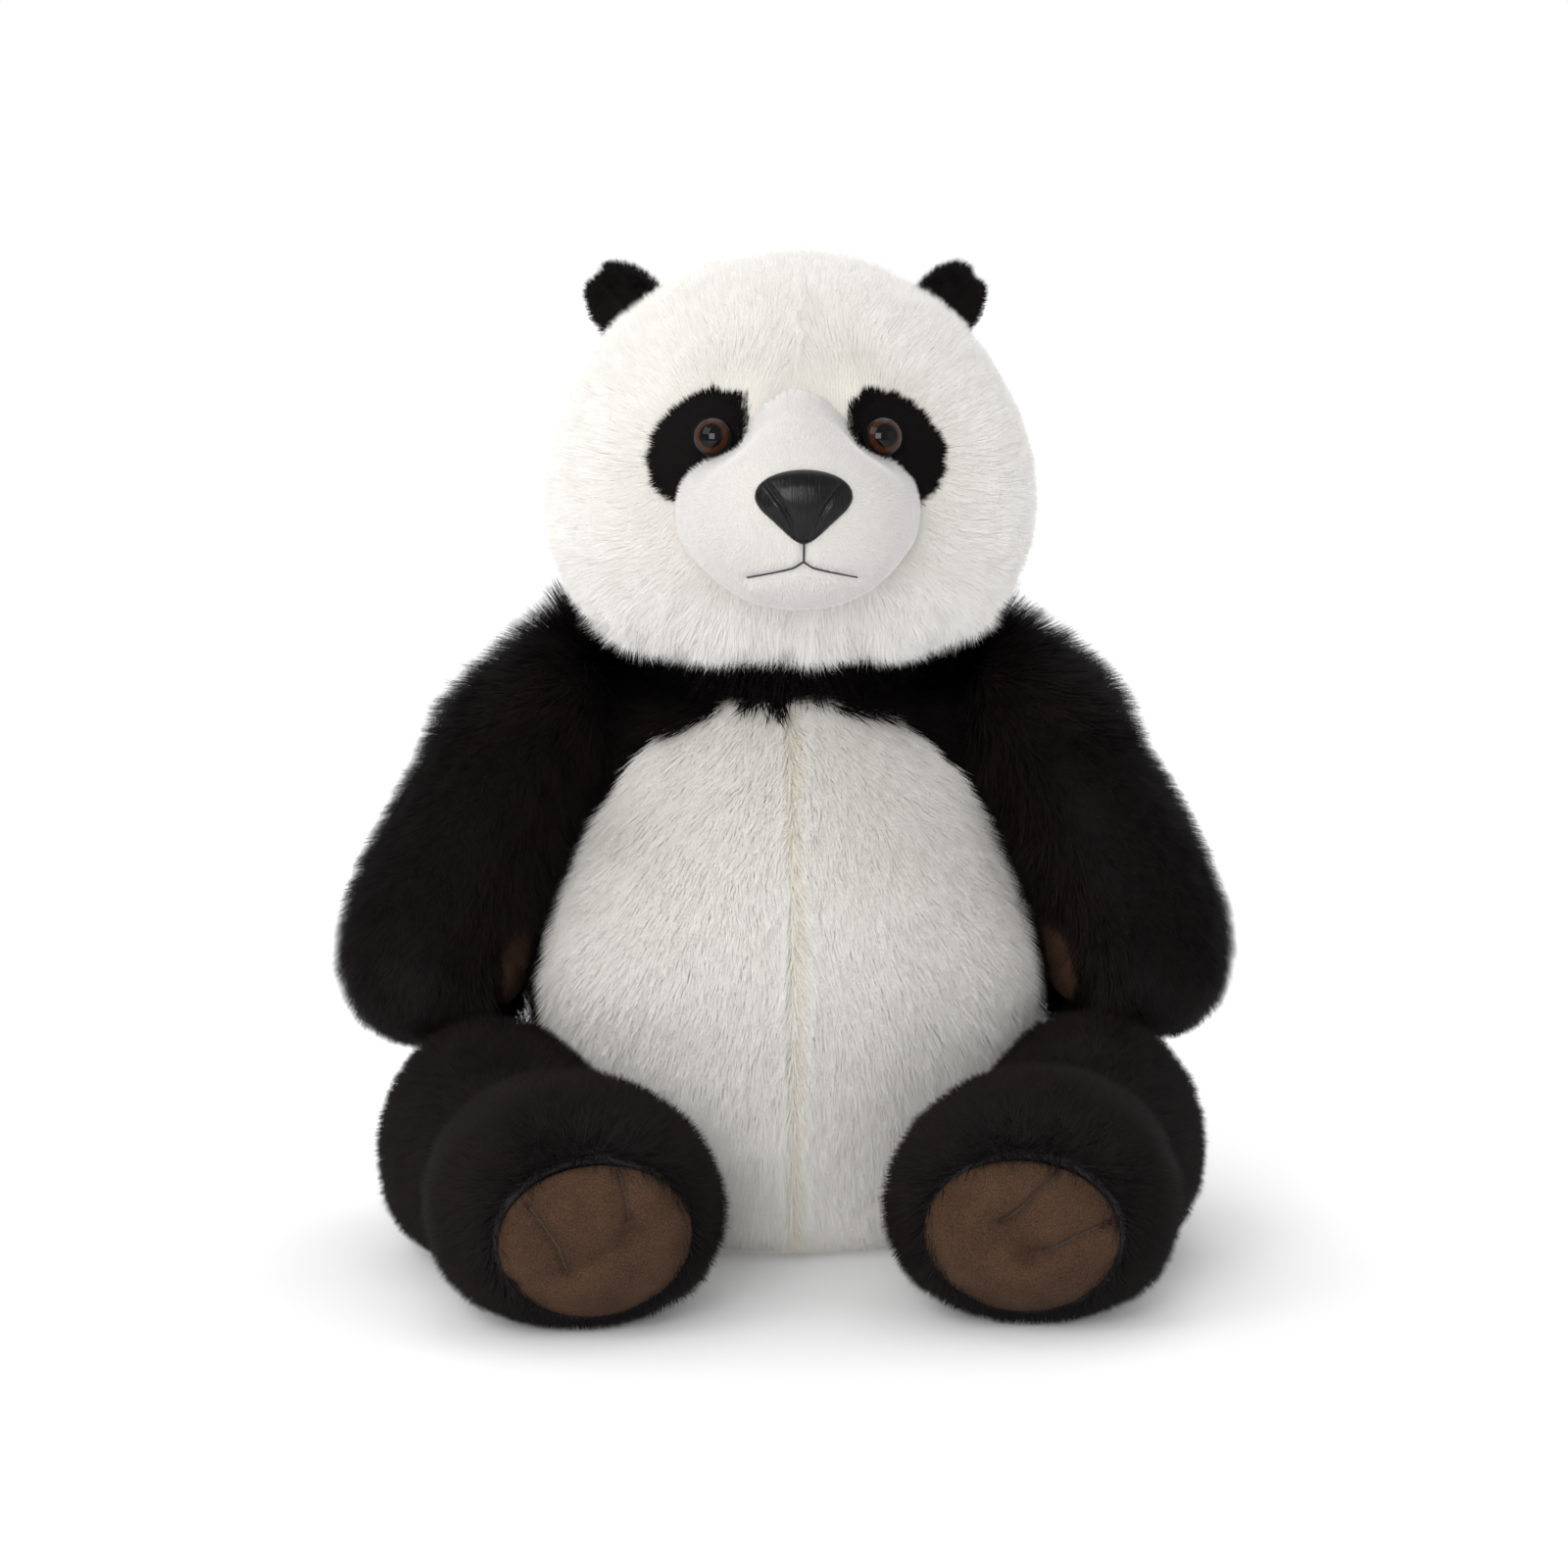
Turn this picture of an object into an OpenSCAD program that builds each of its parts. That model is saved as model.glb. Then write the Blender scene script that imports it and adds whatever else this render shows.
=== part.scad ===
// Sitting plush panda: sewn fabric panels over fibre filling, with a bag of
// pellets in the seat, plastic safety eyes and soft, sprung limbs.
// Frame: +Z up, the panda faces -Y, its own left is +X, and the origin is the
// middle of the seat on the floor. Sizes are in millimetres.

/* [Fabric] */
// Thickness of the fabric with its pile backing
skin = 3; // [2:0.5:4]
// Room between the fabric and the filling inside it
fill_gap = 1; // [0.8:0.1:2]
// Gap between two panels at a seam
seam_gap = 0.4; // [0.3:0.1:0.8]

/* [Torso] */
// Widest width of the torso
torso_w = 206; // [175:1:235]
// Deepest depth of the torso, front to back
torso_d = 190; // [162:1:216]
// Height of the torso up to the neck
torso_h = 239; // [205:1:280]
// Height above the floor at which the torso is widest
torso_wide_at = 105; // [90:1:122]
// Radius of the round seat that rests on the floor
seat_r = 72; // [58:1:85]
// Radius of the torso's top, where the neck starts
neck_r = 50; // [44:1:56]
// How far below the torso's top the white belly ends, at the front seam
belly_below_top = 9; // [5:1:40]
// Height at which the belly's curved top edge meets its sides
belly_shoulder = 148; // [120:1:165]
// Angle from the front seam to the belly's side seam
belly_half_angle = 70; // [58:1:76]
// Height at which the black yoke starts on the back
yoke_back_at = 156; // [130:1:180]
// Thickness of the bag of pellets in the seat
pellet_bag_h = 32; // [22:1:42]

/* [Head] */
// Width of the head
head_w = 192; // [165:1:225]
// Depth of the head without the muzzle
head_d = 170; // [145:1:200]
// Height of the head above its widest level
head_up = 97; // [84:1:115]
// Height of the head below its widest level
head_down = 56; // [48:1:66]
// How far the middle of the head sits in front of the neck
head_forward = 25; // [18:1:34]
// Height of the round neck cushion between torso and head
neck_h = 12; // [10:1:18]
// Clearance above and below the neck cushion
neck_gap = 3; // [2:0.5:5]

/* [Muzzle and face] */
// Half width of the opening in the face that the muzzle fills
muzzle_half_w = 48; // [42:1:53]
// How far the muzzle stands out of the face
muzzle_l = 52; // [44:1:62]
// How far the chin hangs below the opening's lower edge
chin_drop = 12; // [8:1:17]
// Width of the nose
nose_w = 38; // [32:1:44]
// Height of the nose
nose_h = 29; // [24:1:34]
// How far the nose stands out of the muzzle
nose_t = 5; // [3:0.5:7]
// Radius of an eye's plastic dome
eye_r = 8; // [7:0.5:10]
// Height of an eye's plastic dome
eye_dome_h = 4.5; // [3.5:0.5:6]
// Clear distance from the muzzle's seam to an eye
eye_clear = 3.7; // [3:0.1:7]
// Angle of the eyes above the head's widest level
eye_angle = 40.6; // [37:0.1:44]
// Radius of an eye's shank
shank_r = 2.5; // [2:0.25:3.5]
// Radius of an eye's locking washer
washer_r = 9; // [8:0.5:12]
// Radius of the mouth and toe threads
thread_r = 0.5; // [0.4:0.1:0.8]

/* [Ears and tail] */
// Radius of an ear
ear_r = 25; // [21:1:30]
// Thickness of each of an ear's two fabric layers
ear_skin = 2.4; // [2:0.2:3]
// Radius of the sphere that an ear is cupped to
ear_cup_r = 42; // [38:1:64]
// Length of the tail
tail_l = 40; // [33:1:50]
// Radius of the tail
tail_r = 18; // [15:1:21]

/* [Arms] */
// Half thickness of an arm, side to side
arm_rx = 36; // [30:1:38]
// Half thickness of an arm, front to back
arm_ry = 39; // [32:1:44]
// Height of the middle of a paw's end above the thighs
paw_lift = -1; // [-2:0.5:20]
// How far the end of the paw stands out sideways from the shoulder
arm_spread = 73; // [68:1:86]
// Half width of the brown pad on a paw
paw_pad_r = 20; // [16:1:24]

/* [Legs] */
// Half thickness of a leg at the thigh, side to side
leg_rx = 42; // [35:1:44]
// How far a hip reaches under the torso's widest level
hip_inset = 12; // [8:1:13]
// Half height of a leg
leg_ry = 43; // [37:1:45]
// Half width of a foot
foot_rx = 51; // [44:1:54]
// Distance from the hip to the sole, along the body's axis
leg_reach = 186; // [155:1:220]
// How far a sole's middle stands inside its hip, towards the middle
foot_inset = 53; // [44:1:56]

/* [Hidden] */
eps_u = 0.5;
eps_v = 0.002;
pole = 0.006; // how near a panel comes to a form's pole, as a share of its length
white = "#f4f2ec";
black = "#1b1719";
brown = "#6a4a35";

head_y = -head_forward;
neck_z = torso_h + neck_gap;
head_z = neck_z + neck_h + neck_gap + head_down;
inset = skin + fill_gap;
belly_top = torso_h - belly_below_top;

sides = ["left", "right"];

// ---- helpers ---------------------------------------------------------------

function mix(a, b, t) = a + (b - a) * t;
function unit(v) = v / norm(v);
function share(x) = min(max(x, 0), 1);
function spow(x, p) = sign(x) * pow(abs(x), p);
function ease(t) = let(c = share(t)) c * c * (3 - 2 * c);
function above(p, h) = [p[0], p[1], max(p[2], h)];

// Outward normal of the surface s at (u, v): s is a function of u and v.
function normal_of(s, u, v, eu = eps_u, ev = eps_v) =
    unit(cross(s(u + eu, v) - s(u - eu, v), s(u, v + ev) - s(u, v - ev)));

// The point of s at (u, v), moved out by h and kept off the floor by its inset.
function lifted(s, u, v, h, eu = eps_u, ev = eps_v) =
    above(s(u, v) + h * normal_of(s, u, v, eu, ev), max(-h, 0));

// A cosine spacing from a to b, which puts more rings near both ends.
function eased_steps(a, b, n) = [for (i = [0:n]) mix(a, b, (1 - cos(180 * i / n)) / 2)];

// Closed solid through rings of equal length, each end closed by a fan.
module closed_loft(rings) {
    m = len(rings);
    n = len(rings[0]);
    centre = function(ring) [for (k = [0:2]) let(c = [for (p = ring) p[k]]) sum(c) / n];
    points = concat([for (ring = rings) each ring], [centre(rings[0]), centre(rings[m - 1])]);
    sides = [for (i = [0:m - 2]) for (j = [0:n - 1])
        let(a = i * n + j, b = i * n + (j + 1) % n)
        each [[a, a + n, b + n], [a, b + n, b]]];
    first = [for (j = [0:n - 1]) [m * n, j, (j + 1) % n]];
    last = [for (j = [0:n - 1]) [m * n + 1, (m - 1) * n + (j + 1) % n, (m - 1) * n + j]];
    polyhedron(points = points, faces = concat(sides, first, last), convexity = 6);
}

function sum(list, i = 0) = i < len(list) ? list[i] + sum(list, i + 1) : 0;

// Step in u or v that moves a point of s by the distance d.
function step_u(s, u, v, d) = d / max(norm(s(u + 0.5, v) - s(u - 0.5, v)), 0.02);
function step_v(s, u, v, d) = d * 2 * eps_v / max(norm(s(u, v + eps_v) - s(u, v - eps_v)), 0.001);

// A sewn panel of thickness t on the surface s, through the columns us, and at
// each u from v = low(u) to v = high(u), half a seam gap inside on every side.
// crowded puts more of its rows near both ends.
module panel(s, us, low, high, nv, crowded = true, t = skin) {
    nu = len(us) - 1;
    w = nv + 1;
    half = (nu + 1) * w;
    place = function(i, j) let(
        u0 = us[i],
        v0 = low(u0) + step_v(s, u0, low(u0), seam_gap / 2),
        v1 = high(u0) - step_v(s, u0, high(u0), seam_gap / 2),
        v = mix(v0, v1, crowded ? (1 - cos(180 * j / nv)) / 2 : j / nv),
        d = step_u(s, u0, v, seam_gap / 2))
        [u0 + (i == 0 ? d : i == nu ? -d : 0), v];
    spots = [for (i = [0:nu]) for (j = [0:nv]) place(i, j)];
    layer = function(h) [for (q = spots) lifted(s, q[0], q[1], h)];
    cells = [for (i = [0:nu - 1]) for (j = [0:nv - 1]) let(a = i * w + j) [a, a + 1, a + w + 1, a + w]];
    outer = [for (c = cells) each [[c[0], c[1], c[2]], [c[0], c[2], c[3]]]];
    inner = [for (f = outer) [for (k = [2, 1, 0]) f[k] + half]];
    rim = concat([for (i = [0:nu - 1]) i * w], [for (j = [0:nv - 1]) nu * w + j],
                 [for (i = [nu:-1:1]) i * w + nv], [for (j = [nv:-1:1]) j]);
    edge = [for (k = [0:len(rim) - 1]) let(a = rim[k], b = rim[(k + 1) % len(rim)])
        each [[a, b, b + half], [a, b + half, a + half]]];
    polyhedron(points = concat(layer(0), layer(-t)), faces = concat(outer, inner, edge), convexity = 6);
}

// Columns from a to b in n equal steps.
function columns(a, b, n) = [for (i = [0:n]) mix(a, b, i / n)];

// Closed solid of a whole form s, inset by h, from v0 to v1.
module filling(s, h, v0, v1, nu, nv, crowded = true) {
    rows = crowded ? eased_steps(v0, v1, nv) : columns(v0, v1, nv);
    closed_loft([for (v = rows) [for (i = [0:nu - 1]) lifted(s, 360 * i / nu, v, -h)]]);
}

// A patch that lies on s inside an outline of (u, v) points around a centre,
// from height h0 up to a crown of height h1.
module patch_on(s, centre, outline, h0, h1, rings, eu = eps_u, ev = eps_v) {
    at = function(r, h) [for (o = outline) let(q = mix(centre, o, r)) lifted(s, q[0], q[1], h, eu, ev)];
    closed_loft(concat(
        [for (i = [1:rings]) at(i / rings, h0)],
        [for (i = [rings:-1:1]) at(i / rings, mix(h1, mix(h0, h1, 0.45), pow(i / rings, 3)))]));
}

// A thread of radius r along (u, v) points of s, lying on it.
module thread_on(s, path, r, lift, n = 6, eu = eps_u, ev = eps_v) {
    c = [for (q = path) lifted(s, q[0], q[1], lift + r * 1.2, eu, ev)];
    last = len(c) - 1;
    closed_loft([for (i = [0:last])
        let(t = unit(c[min(i + 1, last)] - c[max(i - 1, 0)]),
            up = normal_of(s, path[i][0], path[i][1], eu, ev),
            b1 = unit(cross(up, t)), b2 = cross(t, b1))
        [for (k = [0:n - 1]) c[i] + r * (cos(360 * k / n) * b1 + sin(360 * k / n) * b2)]]);
}

module on_side(name) {
    if (name == "right") mirror([1, 0, 0]) children();
    else children();
}

// ---- torso -----------------------------------------------------------------

// Share of the way from the seat or neck to the widest level, at height z.
function torso_swell(z) = z < torso_wide_at
    ? sqrt(1 - pow((torso_wide_at - z) / torso_wide_at, 2))
    : 1 - pow((z - torso_wide_at) / (torso_h - torso_wide_at), 1.9);
function torso_radius(z, wide) = mix(z < torso_wide_at ? seat_r : neck_r, wide, torso_swell(z));

// Torso: u is the angle from +X, v the share of its height.
torso = function(u, v) let(z = share(v) * torso_h)
    [torso_radius(z, torso_w / 2) * cos(u), torso_radius(z, torso_d / 2) * sin(u), z];

// Edge of the white belly as a share of the torso's height, at angle u.
belly_edge = function(u) let(a = min(abs(u + 90) / belly_half_angle, 1))
    mix(belly_shoulder, belly_top, sqrt(max(1 - pow(a, 3), 0))) / torso_h;
// Lower edge of the black yoke, which leaves more room where the seam runs steeply.
yoke_edge = function(u) belly_edge(u)
    + 3 * seam_gap / torso_h * pow(min(abs(u + 90) / belly_half_angle, 1), 4);
at_floor = function(u) 0.0;
at_neck = function(u) 1 - pole;
at_yoke = function(u) yoke_back_at / torso_h;
front = -90;
back_half_angle = 180 - belly_half_angle - 40;

module seat_panel() {
    color(white) cylinder(r = seat_r - skin - 2 * seam_gap, h = skin, $fn = 96);
}
module belly_half() {
    color(white) panel(torso, columns(front, front + belly_half_angle, 8), at_floor, belly_edge, 12);
}
module chest_yoke() {
    across = columns(front - belly_half_angle, front + belly_half_angle, 16);
    color(black) panel(torso, across, yoke_edge, at_neck, 5);
}
module torso_side() {
    across = columns(front + belly_half_angle, 90 - back_half_angle, 5);
    color(black) panel(torso, across, at_floor, at_neck, 14);
}
module back_half() {
    color(white) panel(torso, columns(90 - back_half_angle, 90, 8), at_floor, at_yoke, 12);
}
module back_yoke() {
    color(black) panel(torso, columns(90 - back_half_angle, 90 + back_half_angle, 16), at_yoke, at_neck, 6);
}
module pellet_bag() {
    color("#b9ad98") filling(torso, inset, inset / torso_h, (inset + pellet_bag_h) / torso_h, 32, 5);
}
module torso_filling() {
    from = (inset + pellet_bag_h + fill_gap) / torso_h;
    color("#fbfaf6") filling(torso, inset + 0.8, from, 1 - 2 * inset / torso_h, 32, 12);
}

// ---- neck and head -----------------------------------------------------------

module neck_cushion() {
    color(black) translate([0, 0, neck_z])
        rotate_extrude($fn = 96) polygon(concat([[0, 0]],
            [for (a = [-90:15:90]) [neck_r * (0.6 + 0.4 * cos(a)), neck_h / 2 * (1 + sin(a))]],
            [[0, neck_h]]));
}

lower_head_power = 2 / 2.6;

// Head: v runs from the back pole to the front pole, u from +X over the top.
head = function(u, v) let(rho = sin(180 * v), up = sin(u) > 0, p = up ? 1 : lower_head_power)
    [head_w / 2 * rho * spow(cos(u), p),
     head_y + head_d / 2 * cos(180 * v),
     head_z + (up ? head_up : head_down) * rho * spow(sin(u), p)];

// The muzzle's opening: how wide its ring is at u, as a share of the head.
opening_rho = function(u) muzzle_half_w / (head_w / 2)
    * (1 - (sin(u) > 0 ? 0.26 * pow(sin(2 * u), 2) + 0.11 * sin(u) : 0));
opening_v = function(u) 1 - asin(opening_rho(u)) / 180;

// Where the eyes stand: a clear distance outside the muzzle's seam.
eye_ring = opening_rho(eye_angle) + (eye_r + eye_clear) / (head_w / 2);
eye_x = eye_ring * head_w / 2 * cos(eye_angle);
eye_z = eye_ring * head_up * sin(eye_angle);
back_pole = function(u) 2 * pole;

// The face, by the distances p to the side and q above the widest level.
face = function(p, q) let(a = p / (head_w / 2), b = q / head_up)
    head(atan2(b, a), 1 - asin(norm([a, b])) / 180);

cheek_from = -58; // angle of the seam between a cheek and the underside
crown_v = 0.42; // the seam from ear to ear, between the face and the back of the head
at_crown = function(u) crown_v;

// An eye sits on the face and looks out along its own axis.
eye_rise = 2.4; // the dome's foot above the head panel, on top of the eye patch
patch_foot = 0.3;
patch_top = 1.9;
washer_h = 2;
washer_depth = 9; // face of the washer behind the head panel's outer face
shank_l = 14; // shank behind the same face
shank_clear = 0.3; // round the shank, in the panel and the patch
shank_flange = 1.2; // the eye's round back, under the dome

module at_eye() {
    at = face(eye_x, eye_z);
    n = unit(normal_of(face, eye_x, eye_z, 1, 1) + [0, -0.6, 0]);
    translate(at) rotate([0, acos(n[2]), atan2(n[1], n[0])]) children();
}
module eye_hole() {
    at_eye() translate([0, 0, -40]) cylinder(r = shank_r + shank_clear, h = 60, $fn = 48);
}
module head_side() {
    color(white) difference() {
        panel(head, columns(cheek_from, 90, 13), at_crown, opening_v, 9, false);
        eye_hole();
    }
}
module head_back() {
    color(white) panel(head, columns(cheek_from, 90, 13), back_pole, at_crown, 6, false);
}
module head_underside() {
    around = columns(180 - cheek_from, 360 + cheek_from, 8);
    color(white) panel(head, around, back_pole, opening_v, 14, false);
}
module head_filling() {
    color("#fbfaf6") difference() {
        filling(head, inset + 0.5, 0.03, opening_v(0) - 0.01, 30, 14, false);
        for (side = sides) on_side(side)
            at_eye() translate([0, 0, -22]) cylinder(r = washer_r + fill_gap, h = 60, $fn = 48);
    }
}

// ---- muzzle ------------------------------------------------------------------

// Muzzle: v runs from the opening's edge out to the tip, u as on the head. Its
// ring starts as the opening and rounds out into a plain oval.
muzzle = function(u, v) let(
        edge = head(u, opening_v(u)),
        oval = [muzzle_half_w * cos(u), edge[1],
                head_z + muzzle_half_w * (sin(u) > 0 ? 0.76 : 0.6) * sin(u)],
        at = mix(edge, oval, ease(1.4 * v)),
        rho = pow(cos(90 * share(v)), 0.72),
        drop = sin(u) < 0 ? 1 + chin_drop / (head_down * opening_rho(u)) * ease(v / 0.3) * -sin(u) : 1,
        tip = head_y - head_d / 2 * cos(asin(opening_rho(0))) - muzzle_l)
    [at[0] * rho * (1 + 0.05 * sin(180 * min(2 * v, 1))),
     mix(at[1] - seam_gap * 2, tip, sin(90 * v)),
     mix(head_z, head_z + 3, v) + (at[2] - head_z) * rho * drop];

// The muzzle near its tip, by the share p of its half width and q of its height.
muzzle_tip = function(p, q) let(r = max(norm([p, q]), 0.001))
    muzzle(atan2(q, p), acos(pow(r, 1 / 0.72)) / 90);
tip_step = 0.01;

mouth_at = 0.74;
mouth_half_angle = 62;
mouth_edge = function(u) let(a = min(abs(u + 90) / mouth_half_angle, 1))
    max(mouth_at * (1 - pow(a, 1.1)), 0.05);
mouth_columns = columns(-90, mouth_half_angle - 90, 6);
at_opening = function(u) 0.0;
muzzle_pole = function(u) 1 - 2 * pole;

module muzzle_half() {
    color(white) panel(muzzle, concat(mouth_columns, columns(mouth_half_angle - 80, 90, 9)),
        function(u) u < mouth_half_angle - 89 ? mouth_edge(u) : at_opening(u), muzzle_pole, 9);
}
module chin() {
    across = columns(-90 - mouth_half_angle, -90 + mouth_half_angle, 12);
    color(white) panel(muzzle, across, at_opening, mouth_edge, 7);
}
module muzzle_filling() {
    color("#fbfaf6") filling(muzzle, inset + 1.2, 0.12, 0.96, 24, 10);
}

// Nose outline: wide and round above, drawn in to a point below.
nose_q = 0.16;
nose_rise = nose_h / (muzzle_half_w * 0.76);
nose_outline = [for (a = [0:15:345]) let(q = sin(a), p = cos(a))
    [nose_w / (2 * muzzle_half_w) * p * (q < 0 ? 1 - 0.5 * pow(-q, 1.5) : 1 - 0.08 * q),
     nose_q + nose_rise * (q > 0 ? 0.36 * spow(q, 0.75) : 0.58 * q)]];
module nose() {
    middle = [0.001, nose_q - 0.03];
    color(black) patch_on(muzzle_tip, middle, nose_outline, 0.6, nose_t, 4, tip_step, tip_step);
}
module mouth_thread() {
    color(black) {
        thread_on(muzzle, [for (i = [0:5]) [-90.01, mix(0.85, mouth_at + 0.02, i / 5)]], thread_r, 0);
        for (dir = [-1, 1]) {
            branch = [for (a = columns(2, 32, 8)) [-90 + dir * a, mouth_edge(-90 + a) - 0.012]];
            thread_on(muzzle, branch, thread_r, 0);
        }
    }
}

// ---- eyes --------------------------------------------------------------------

// A tilted oval, wider below, with the eye near its inner edge.
patch_tilt = 58;
patch_centre = [eye_x + 9, eye_z - 1];
patch_clear = 1.5; // from the muzzle's seam to the patch
beside_muzzle = function(q) let(a = atan2(q[1] / head_up, q[0] / (head_w / 2)),
    ring = norm([q[0] / (head_w / 2), q[1] / head_up]),
    least = opening_rho(a) + patch_clear / (head_w / 2))
    q * max(least / ring, 1);
eye_patch_outline = [for (a = [345:-15:0]) let(l = 27 * cos(a), w = (15.5 - 2.5 * cos(a)) * sin(a))
    beside_muzzle(patch_centre
        + [-l * cos(patch_tilt) + w * sin(patch_tilt), l * sin(patch_tilt) + w * cos(patch_tilt)])];
module eye_patch() {
    color(black) difference() {
        patch_on(face, patch_centre, eye_patch_outline, patch_foot, patch_top, 4, 1, 1);
        eye_hole();
    }
}
module eye_dome() {
    ball_r = (eye_r * eye_r + eye_dome_h * eye_dome_h) / (2 * eye_dome_h);
    color("#5a2c14") at_eye() translate([0, 0, eye_rise + shank_flange])
        intersection() {
            translate([0, 0, eye_dome_h - ball_r]) sphere(r = ball_r, $fn = 96);
            cylinder(r = eye_r + 1, h = eye_dome_h + 1, $fn = 96);
        }
}
module eye_shank() {
    color(black) at_eye() {
        translate([0, 0, eye_rise]) cylinder(r = eye_r, h = shank_flange, $fn = 96);
        translate([0, 0, -shank_l]) cylinder(r = shank_r, h = shank_l + eye_rise + 0.2, $fn = 48);
    }
}
module eye_washer() {
    color("ivory") at_eye() translate([0, 0, -washer_depth - washer_h]) difference() {
        cylinder(r = washer_r, h = washer_h, $fn = 96);
        translate([0, 0, -1]) cylinder(r = shank_r, h = washer_h + 2, $fn = 48);
    }
}

// ---- ears --------------------------------------------------------------------

ear_u = 50;
ear_v = 0.40;
ear_lift = 3; // the ear's straight edge above the head, at its middle
ear_turn = 24; // how far the ear faces outwards
layer_gap = 0.4;

// One cupped layer: a round dish between two spheres, cut straight at its base.
module ear_layer(r0, radius) {
    arc = function(r, a0, a1) [for (a = columns(a0, a1, 8)) [r * sin(a), ear_cup_r - r * cos(a)]];
    a_in = asin(radius / r0);
    a_out = asin(radius / (r0 + ear_skin));
    intersection() {
        rotate_extrude($fn = 96) polygon(concat(arc(r0, 0, a_in), arc(r0 + ear_skin, a_out, 0)));
        translate([-2 * ear_r, 0, -ear_r]) cube([4 * ear_r, 2 * ear_r, 4 * ear_r]);
    }
}
module at_ear() {
    n = normal_of(head, ear_u, ear_v);
    flat = unit(cross([0, 1, 0], n)); // along the head, from the ear's top end to its lower end
    facing = cross(flat, n);
    f = cos(ear_turn) * facing + sin(ear_turn) * flat;
    t = cross(n, f);
    at = head(ear_u, ear_v) + n * ear_lift;
    multmatrix([for (i = [0:2]) [t[i], n[i], f[i], at[i]]]) children();
}
module ear_front() {
    color("#2a2224") at_ear() ear_layer(ear_cup_r, ear_r - 0.5);
}
module ear_back() {
    color(black) at_ear() ear_layer(ear_cup_r + ear_skin + layer_gap, ear_r);
}

// ---- limbs -------------------------------------------------------------------

function bezier(p, t) = pow(1 - t, 3) * p[0] + 3 * t * pow(1 - t, 2) * p[1]
    + 3 * t * t * (1 - t) * p[2] + pow(t, 3) * p[3];
function slope(p, t) = unit(pow(1 - t, 2) * (p[1] - p[0]) + 2 * t * (1 - t) * (p[2] - p[1])
    + t * t * (p[3] - p[2]));

// Rounding of a limb's two ends: share of full thickness at v.
function dome(v, a, p) = v < a ? pow(1 - pow((a - v) / a, p), 1 / p) : 1;

// A limb on the spine p, with half thicknesses from rx(v) and ry(v), rounded
// over a share of its length at each end. side is the direction of its depth.
function limb(p, rx, ry, start, end, start_power, end_power, side) = function(u, v)
    let(w = share(v), t = slope(p, w), b1 = unit(cross(side, t)), b2 = cross(t, b1),
        k = dome(w, start, start_power) * dome(1 - w, end, end_power))
    above(bezier(p, w) + k * (rx(w) * cos(u) * b1 + ry(w) * sin(u) * b2), 0);

shoulder = [torso_radius(torso_h - 12, torso_w / 2) + 27, 6, torso_h - 10];
arm_drop = shoulder[2] - 2 * leg_ry - paw_lift;
arm_spine = [shoulder + [-12, -2, 18], shoulder + [18, 2, -1],
             shoulder + [arm_spread - 9, 0, -0.54 * arm_drop], shoulder + [arm_spread, -24, -arm_drop]];
arm = limb(arm_spine,
    function(v) arm_rx * mix(0.60, 1, ease(v / 0.6)),
    function(v) arm_ry * mix(0.68, 1, ease(v / 0.55)),
    0.20, 0.24, 2, 2.6, [0, 1, 0]);
limb_pole = function(u) 2 * pole;
limb_far_pole = function(u) 1 - 2 * pole;
pad_foot = 0.5;
pad_top = 2.2;

module arm_outer() {
    color(black) panel(arm, columns(90, 270, 10), limb_pole, limb_far_pole, 14);
}
module arm_inner() {
    color(black) panel(arm, columns(-90, 90, 10), limb_pole, limb_far_pole, 14);
}
module arm_filling() {
    color("#fbfaf6") filling(arm, inset, 0.03, 0.97, 20, 12);
}
module paw_pad() {
    outline = [for (a = [0:20:340])
        [-22 + paw_pad_r * 1.5 * cos(a), 0.80 + paw_pad_r / arm_drop * 0.9 * sin(a)]];
    color(brown) patch_on(arm, [-22, 0.80], outline, pad_foot, pad_top, 3);
}

hip = [torso_w / 2 + leg_rx - hip_inset, -19, leg_ry];
leg_spine = [hip, hip + [0, -leg_reach * 0.24, 0], hip + [-foot_inset * 0.78, -leg_reach * 0.58, 0],
             hip + [-foot_inset, -leg_reach, 0]];
sole_at = 0.952; // the sole's edge, as a share of the leg's length
sole_tilt = 0.020; // how much nearer the hip the sole's edge comes below than above
leg = limb(leg_spine,
    function(v) mix(leg_rx * mix(0.70, 1, ease(v / 0.3)), foot_rx, ease((v - 0.45) / 0.4)),
    function(v) leg_ry * mix(0.80, 1, ease(v / 0.3)),
    0.14, 0.22, 2, 2.6, [0, 0, 1]);
at_sole = function(u) sole_at + sole_tilt * sin(u);
sole_seam = seam_gap / leg_reach;

module leg_outer() {
    color(black) panel(leg, columns(-90, 90, 10), limb_pole, at_sole, 14);
}
module leg_inner() {
    color(black) panel(leg, columns(90, 270, 10), limb_pole, at_sole, 14);
}
module leg_filling() {
    color("#fbfaf6") filling(leg, inset + 0.4, 0.03, 0.975, 20, 12);
}
module sole() {
    ring = function(t, h) [for (i = [0:27]) let(u = 360 * i / 28)
        lifted(leg, u, mix(at_sole(u) + sole_seam, 1 - pole / 2, t), h)];
    inside = [for (i = [5:-1:0]) ring(i / 5, -skin)];
    outside = [for (i = [0:5]) ring(i / 5, 0)];
    color(brown) closed_loft(concat(inside, outside));
}
// Two short stitched lines run in from the top and the outer side of the sole.
module toe_threads() {
    color("#2b1d15") for (a = [80, 24])
        thread_on(leg, [for (i = [0:5]) [a, mix(at_sole(a) + 0.004, 0.991, i / 5)]], thread_r, 0.2);
}

// ---- tail --------------------------------------------------------------------

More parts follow.
